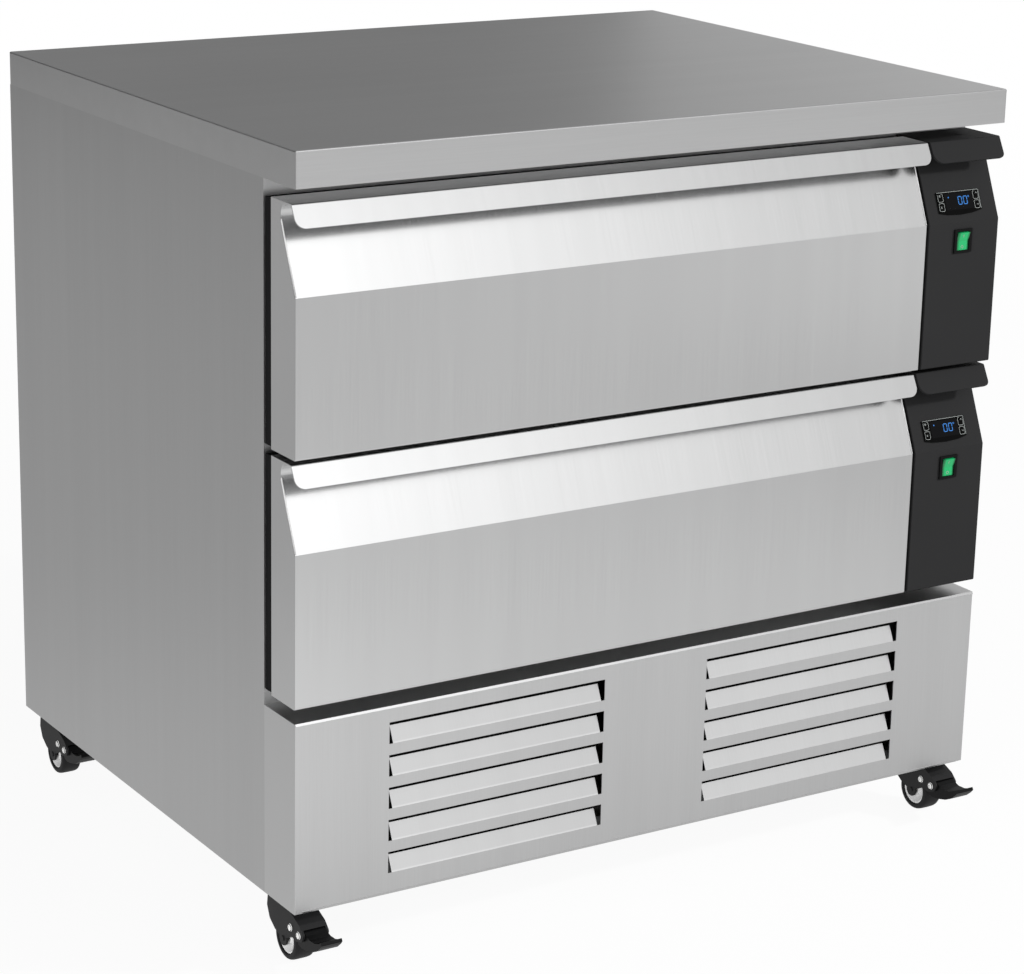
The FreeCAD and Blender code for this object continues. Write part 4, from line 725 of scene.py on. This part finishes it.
# %% Keys
KEY_WIDTH, KEY_HEIGHT, KEY_FACE = 4.6, 5.0, 1.95
KEY_INSET, KEY_LOW, KEY_PITCH = 1.9, 3.6, 13.2
KEY_LEFTS = {"left": BEZEL_LEFT + KEY_INSET, "right": BEZEL_LEFT + BEZEL_WIDTH - KEY_INSET - KEY_WIDTH}
KEY_LOWS = {"low": BEZEL_LOW + KEY_LOW, "high": BEZEL_LOW + KEY_LOW + KEY_PITCH}
SIGN_HEIGHTS = (KEY_FACE - 0.02, KEY_FACE + 0.05)
ARROW_REACH, ARROW_RISE = 1.1, 0.7
BAR_REACH, BAR_PITCH = 1.2, 0.9
BAR_COUNTS = {"low": 2, "high": 3}


def key_sign(side, row, middle, centre, spot):
    """The lines of a sign about the middle of its key: an arrowhead, up on the higher key and down
    on the lower one, or two or three upright bars."""
    if side == "right":
        tip = ARROW_RISE if row == "high" else -ARROW_RISE
        arrow = [[middle - ARROW_REACH, centre - tip], [middle, centre + tip],
                 [middle + ARROW_REACH, centre - tip]]
        return [line(arrow, WIDE_PRINT, SIGN_HEIGHTS, spot)]
    count = BAR_COUNTS[row]
    places = [middle + (k - (count - 1) / 2) * BAR_PITCH for k in range(count)]
    return [line([[across, centre - BAR_REACH], [across, centre + BAR_REACH]], SLIM_PRINT, SIGN_HEIGHTS, spot)
            for across in places]


for level in BASES:
    for row, low in KEY_LOWS.items():
        for side, left in KEY_LEFTS.items():
            key = f"key_{level}_{row}_{side}"
            sign = key_sign(side, row, left + KEY_WIDTH / 2, low + KEY_HEIGHT / 2, on_slope(level))
            add_piece(f"{key}_print", *joined(sign), "printed_grey", key, "key_black", smooth=False)
print("key signs made")

# %% [markdown]
# The rocker is switched on, so it is tilted by eight degrees, and its face is a shallow valley. Two
# marks are moulded in it: a small ring below and an upright bar above. They are drawn on the flat
# halves of the valley and turned with the rocker about its pivot.

# %% Rocker marks
ROCKER_MIDDLE, ROCKER_PIVOT = 848.5, 2.0
SWITCH_DROP, SWITCH_HALF = 8, 13.5
ROCKER_TILT = radians(8)
ROCKER_DIP, ROCKER_RISE, ROCKER_HALF = 2.5, 1.5, 10.2
MARK_HEIGHTS = (-0.05, 0.12)


def on_rocker(level):
    """From (across, up, out) on the valley's face to cabinet millimetres. The face stands dip plus
    rise * |up| / half in front of the pivot, and the whole is turned about the pivot, (y, z) going
    to (y cos - z sin, y sin + z cos)."""
    pivot = np.array([ROCKER_MIDDLE, ROCKER_PIVOT, BASES[level] + BEND - SWITCH_DROP - SWITCH_HALF])
    c, s = cos(ROCKER_TILT), sin(ROCKER_TILT)

    def spot(across, up, out):
        y = -ROCKER_DIP - ROCKER_RISE * np.abs(up) / ROCKER_HALF - out
        return pivot + np.stack([across, y * c - up * s, y * s + up * c], axis=1)
    return spot


for level in BASES:
    spot = on_rocker(level)
    add_piece(f"rocker_ring_{level}", *line(circle(0, -6.6, 1.5, 24), 0.5, MARK_HEIGHTS, spot, closed=True),
              "printed_grey", f"rocker_{level}", "rocker_green")
    add_piece(f"rocker_bar_{level}", *line([[0, 4.6], [0, 6.2], [0, 8.0]], 0.6, MARK_HEIGHTS, spot),
              "printed_grey", f"rocker_{level}", "rocker_green", smooth=False)
print("rocker marks made")

# %% [markdown]
# A caster's tyre has a gently crowned tread and round shoulders. Its profile is a superellipse: a
# rounded box whose corners sharpen as the exponent grows. Turned round the axle, it makes the whole
# tyre. The white rim is a turned profile too, with a dish, a hub and a step between the two. The
# dish lies in the shade of its ring, so its faces get a duller grey.

# %% Wheels
CASTER_X, CASTER_FRONT, CASTER_REAR = 24, 42, 642
WHEELS = {"front_left": (CASTER_X, CASTER_FRONT), "front_right": (WIDTH - CASTER_X, CASTER_FRONT),
          "rear_left": (CASTER_X, CASTER_REAR), "rear_right": (WIDTH - CASTER_X, CASTER_REAR)}
WHEEL_RADIUS, WHEEL_HALF, RIM_RADIUS, RIM_RECESS = 25.0, 12.0, 18.0, 1.5
WHEEL_SEGMENTS = 96
TREAD_EXPONENT, TREAD_POINTS = 5.0, 56
# The places of the dish's first and last row of faces on one side of the rim's profile
DISH_ROWS = (3, 7)


def tyre_profile():
    """Half-width * |cos t|^(2/n) across and radius from the rim outwards by |sin t|^(2/n) for the
    tread, closed by a straight bead along the rim."""
    t = np.linspace(0, pi, TREAD_POINTS)
    across = WHEEL_HALF * np.sign(np.cos(t)) * np.abs(np.cos(t)) ** (2 / TREAD_EXPONENT)
    radius = RIM_RADIUS + (WHEEL_RADIUS - RIM_RADIUS) * np.abs(np.sin(t)) ** (2 / TREAD_EXPONENT)
    bead = np.stack([np.linspace(-WHEEL_HALF, WHEEL_HALF, 6)[1:-1], np.full(4, RIM_RADIUS)], axis=1)
    return np.concatenate([np.stack([across, radius], axis=1), bead])


def rim_profile():
    """Both faces of the rim as one closed profile: hub, dish, ring and the seat of the tyre."""
    face = WHEEL_HALF - RIM_RECESS
    side = np.array([[face - 1.5, 3.05], [face - 1.2, 3.4], [face - 1.2, 6.6], [face - 1.7, 7.2],
                     [face - 3.6, 8.6], [face - 4.0, 9.4], [face - 3.8, 11.0], [face - 0.6, 15.6],
                     [face, 16.3], [face, 17.4], [face - 0.4, RIM_RADIUS]])
    return np.concatenate([side, side[::-1] * [-1, 1]])


make_finishes(moulded, {
    "rim_white": dict(colour=(0.90, 0.90, 0.89), roughness=0.36, spread=0.04),
    "dish_grey": dict(colour=(0.68, 0.68, 0.68), roughness=0.45, spread=0.08),
})
for name, (x, y) in WHEELS.items():
    centre, wheel = (x, y, WHEEL_RADIUS), f"caster_wheel_{name}"
    tyre = add_piece(f"tyre_{name}", *turned_profile(tyre_profile(), centre, WHEEL_SEGMENTS),
                     "caster_tyre", wheel, "caster_tyre")
    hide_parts(wheel)
    profile = rim_profile()
    rim = add_piece(f"rim_{name}", *turned_profile(profile, centre, WHEEL_SEGMENTS),
                    "rim_white", wheel, "caster_tyre")
    rim.data.materials.append(finishes["dish_grey"])
    rows = np.repeat(np.arange(len(profile)), WHEEL_SEGMENTS)
    from_hub = np.minimum(rows, len(profile) - 2 - rows)
    in_dish = (from_hub >= DISH_ROWS[0]) & (from_hub <= DISH_ROWS[1])
    rim.data.polygons.foreach_set("material_index", in_dish.astype(np.int32))
print("wheels made")

# %% [markdown]
# A folded sheet edge is what the eye follows on a steel cabinet. The kick panel's upper edge is
# turned back in a small hem that leans a little, as the drawer fronts' upper parts do, so it shows
# as one bright line. A thin return runs along its foot, and a bead closes each leaning end of the
# drawer fronts. The beads are coloured a pale, half-metal grey: a painted highlight along each end.
# All are one section carried along a straight line.

# %% Folded edges
KICK_TOP, GROUND_GAP = 282, 70
HEM_INSET, FOOT_INSET = 0.8, 9
HEM = [[-0.8, -2.7], [-1.2, -2.2], [-0.1, 0.35], [1.2, 0.35], [1.2, -2.7]]
FOOT = [[-0.5, 0.0], [-0.9, 1.7], [-0.1, 2.4], [0.6, 2.4], [0.6, 0.0]]
DRAWER_WIDTH = 796.0
BEAD_RADIUS, BEAD_LENGTH = 0.9, 92
BEAD_INSET, BEAD_SUNK = 1.0, 0.1


def extruded(section, start, end, directions):
    """A closed section (u, v) carried from start to end: each point is the place plus u times the
    first direction plus v times the second."""
    section, directions = np.asarray(section, float), np.asarray(directions, float)
    ends = [np.asarray(place, float) + section @ directions for place in (start, end)]
    count = len(section)
    walls = quads(2, count, False, True)[:, ::-1].tolist()
    return np.concatenate(ends), [list(range(count))[::-1], list(range(count, 2 * count))] + walls


# The beads' pale colour is a painted highlight, not the steel's own.
make_finishes(plated, {"bright_edge": dict(colour=(0.80, 0.80, 0.80), roughness=0.5, metal=0.35)})
for name, section, inset, height, finish in (
        ("kick_hem", HEM, HEM_INSET, KICK_TOP, "drawer_steel"),
        ("kick_foot_return", FOOT, FOOT_INSET, GROUND_GAP, "kick_steel")):
    fold = extruded(section, (inset, 0, height), (WIDTH - inset, 0, height), [[0, 1, 0], [0, 0, 1]])
    add_piece(name, *fold, finish, "cabinet", "kick_steel", smooth=False)
for level, base in BASES.items():
    for end, x in (("left", BEAD_INSET), ("right", DRAWER_WIDTH - BEAD_INSET)):
        low = np.array([x, 0, base + BEND]) + UP_SLOPE * BEAD_INSET - OFF_SLOPE * BEAD_SUNK
        high = low + UP_SLOPE * BEAD_LENGTH
        bead = extruded(circle(0, 0, BEAD_RADIUS, 12), low, high, [[1, 0, 0], OFF_SLOPE])
        add_piece(f"end_bead_{end}_{level}", *bead, "bright_edge", f"drawer_{level}", "drawer_steel")
print("folded edges made")

# %% [markdown]
# Bright domed rivets hold the brake and the pedal between the cheeks of each fork. The solid has
# them as plain flat heads, and a dome over each gives it the round glint. The domes are coloured
# near white instead of zinc: a painted highlight for the plated metal's shine. A dome is half an
# ellipse turned round the rivet's axis, with a small round dimple in its middle.

# %% Rivets
# The outer face of a fork's cheek, from the wheel's middle
CHEEK_FACE = 15.5
# How far before the wheel's centre and above the floor the pedal's rivet is. The brake's is nearer
# to the wheel's centre and a little higher.
PEDAL_AHEAD, PEDAL_UP = 35, 42
RIVETS = ((PEDAL_AHEAD - 18.4, PEDAL_UP + 2), (PEDAL_AHEAD, PEDAL_UP))
RIVET_RADIUS, RIVET_HEIGHT, RIVET_SUNK = 4.35, 1.9, 0.4
NEEDLE = 0.02


def dome(x, y, z, side):
    """Radius * cos t and height * sin t, with a dimple in the middle, turned round x. The profile
    ends a needle's width from the axis, so that no two of its points fall together."""
    t = np.linspace(0, pi / 2, 8)[:-1]
    crown = np.stack([RIVET_HEIGHT * np.sin(t), RIVET_RADIUS * np.cos(t)], axis=1)
    foot = [[-RIVET_SUNK, NEEDLE], [-RIVET_SUNK, RIVET_RADIUS]]
    dimple = [[RIVET_HEIGHT, RIVET_RADIUS * 0.3], [RIVET_HEIGHT * 0.72, RIVET_RADIUS * 0.24],
              [RIVET_HEIGHT * 0.72, NEEDLE]]
    points, faces = turned_profile(np.concatenate([foot, crown, dimple]) * [side, 1], (x, y, z), 32)
    return points, faces if side < 0 else faces[:, ::-1]


# The near-white colour of the domes is a painted highlight in place of the zinc's shine.
make_finishes(moulded, {"bright_rivet": dict(colour=(0.86, 0.86, 0.85), roughness=0.3, spread=0.05)})
for name, (x, y) in WHEELS.items():
    heads = [dome(x + side * CHEEK_FACE, y - ahead, z, side) for side in (-1, 1) for ahead, z in RIVETS]
    add_piece(f"rivets_{name}", *joined(heads), "bright_rivet", f"caster_fork_{name}", "zinc")
print("rivets made")
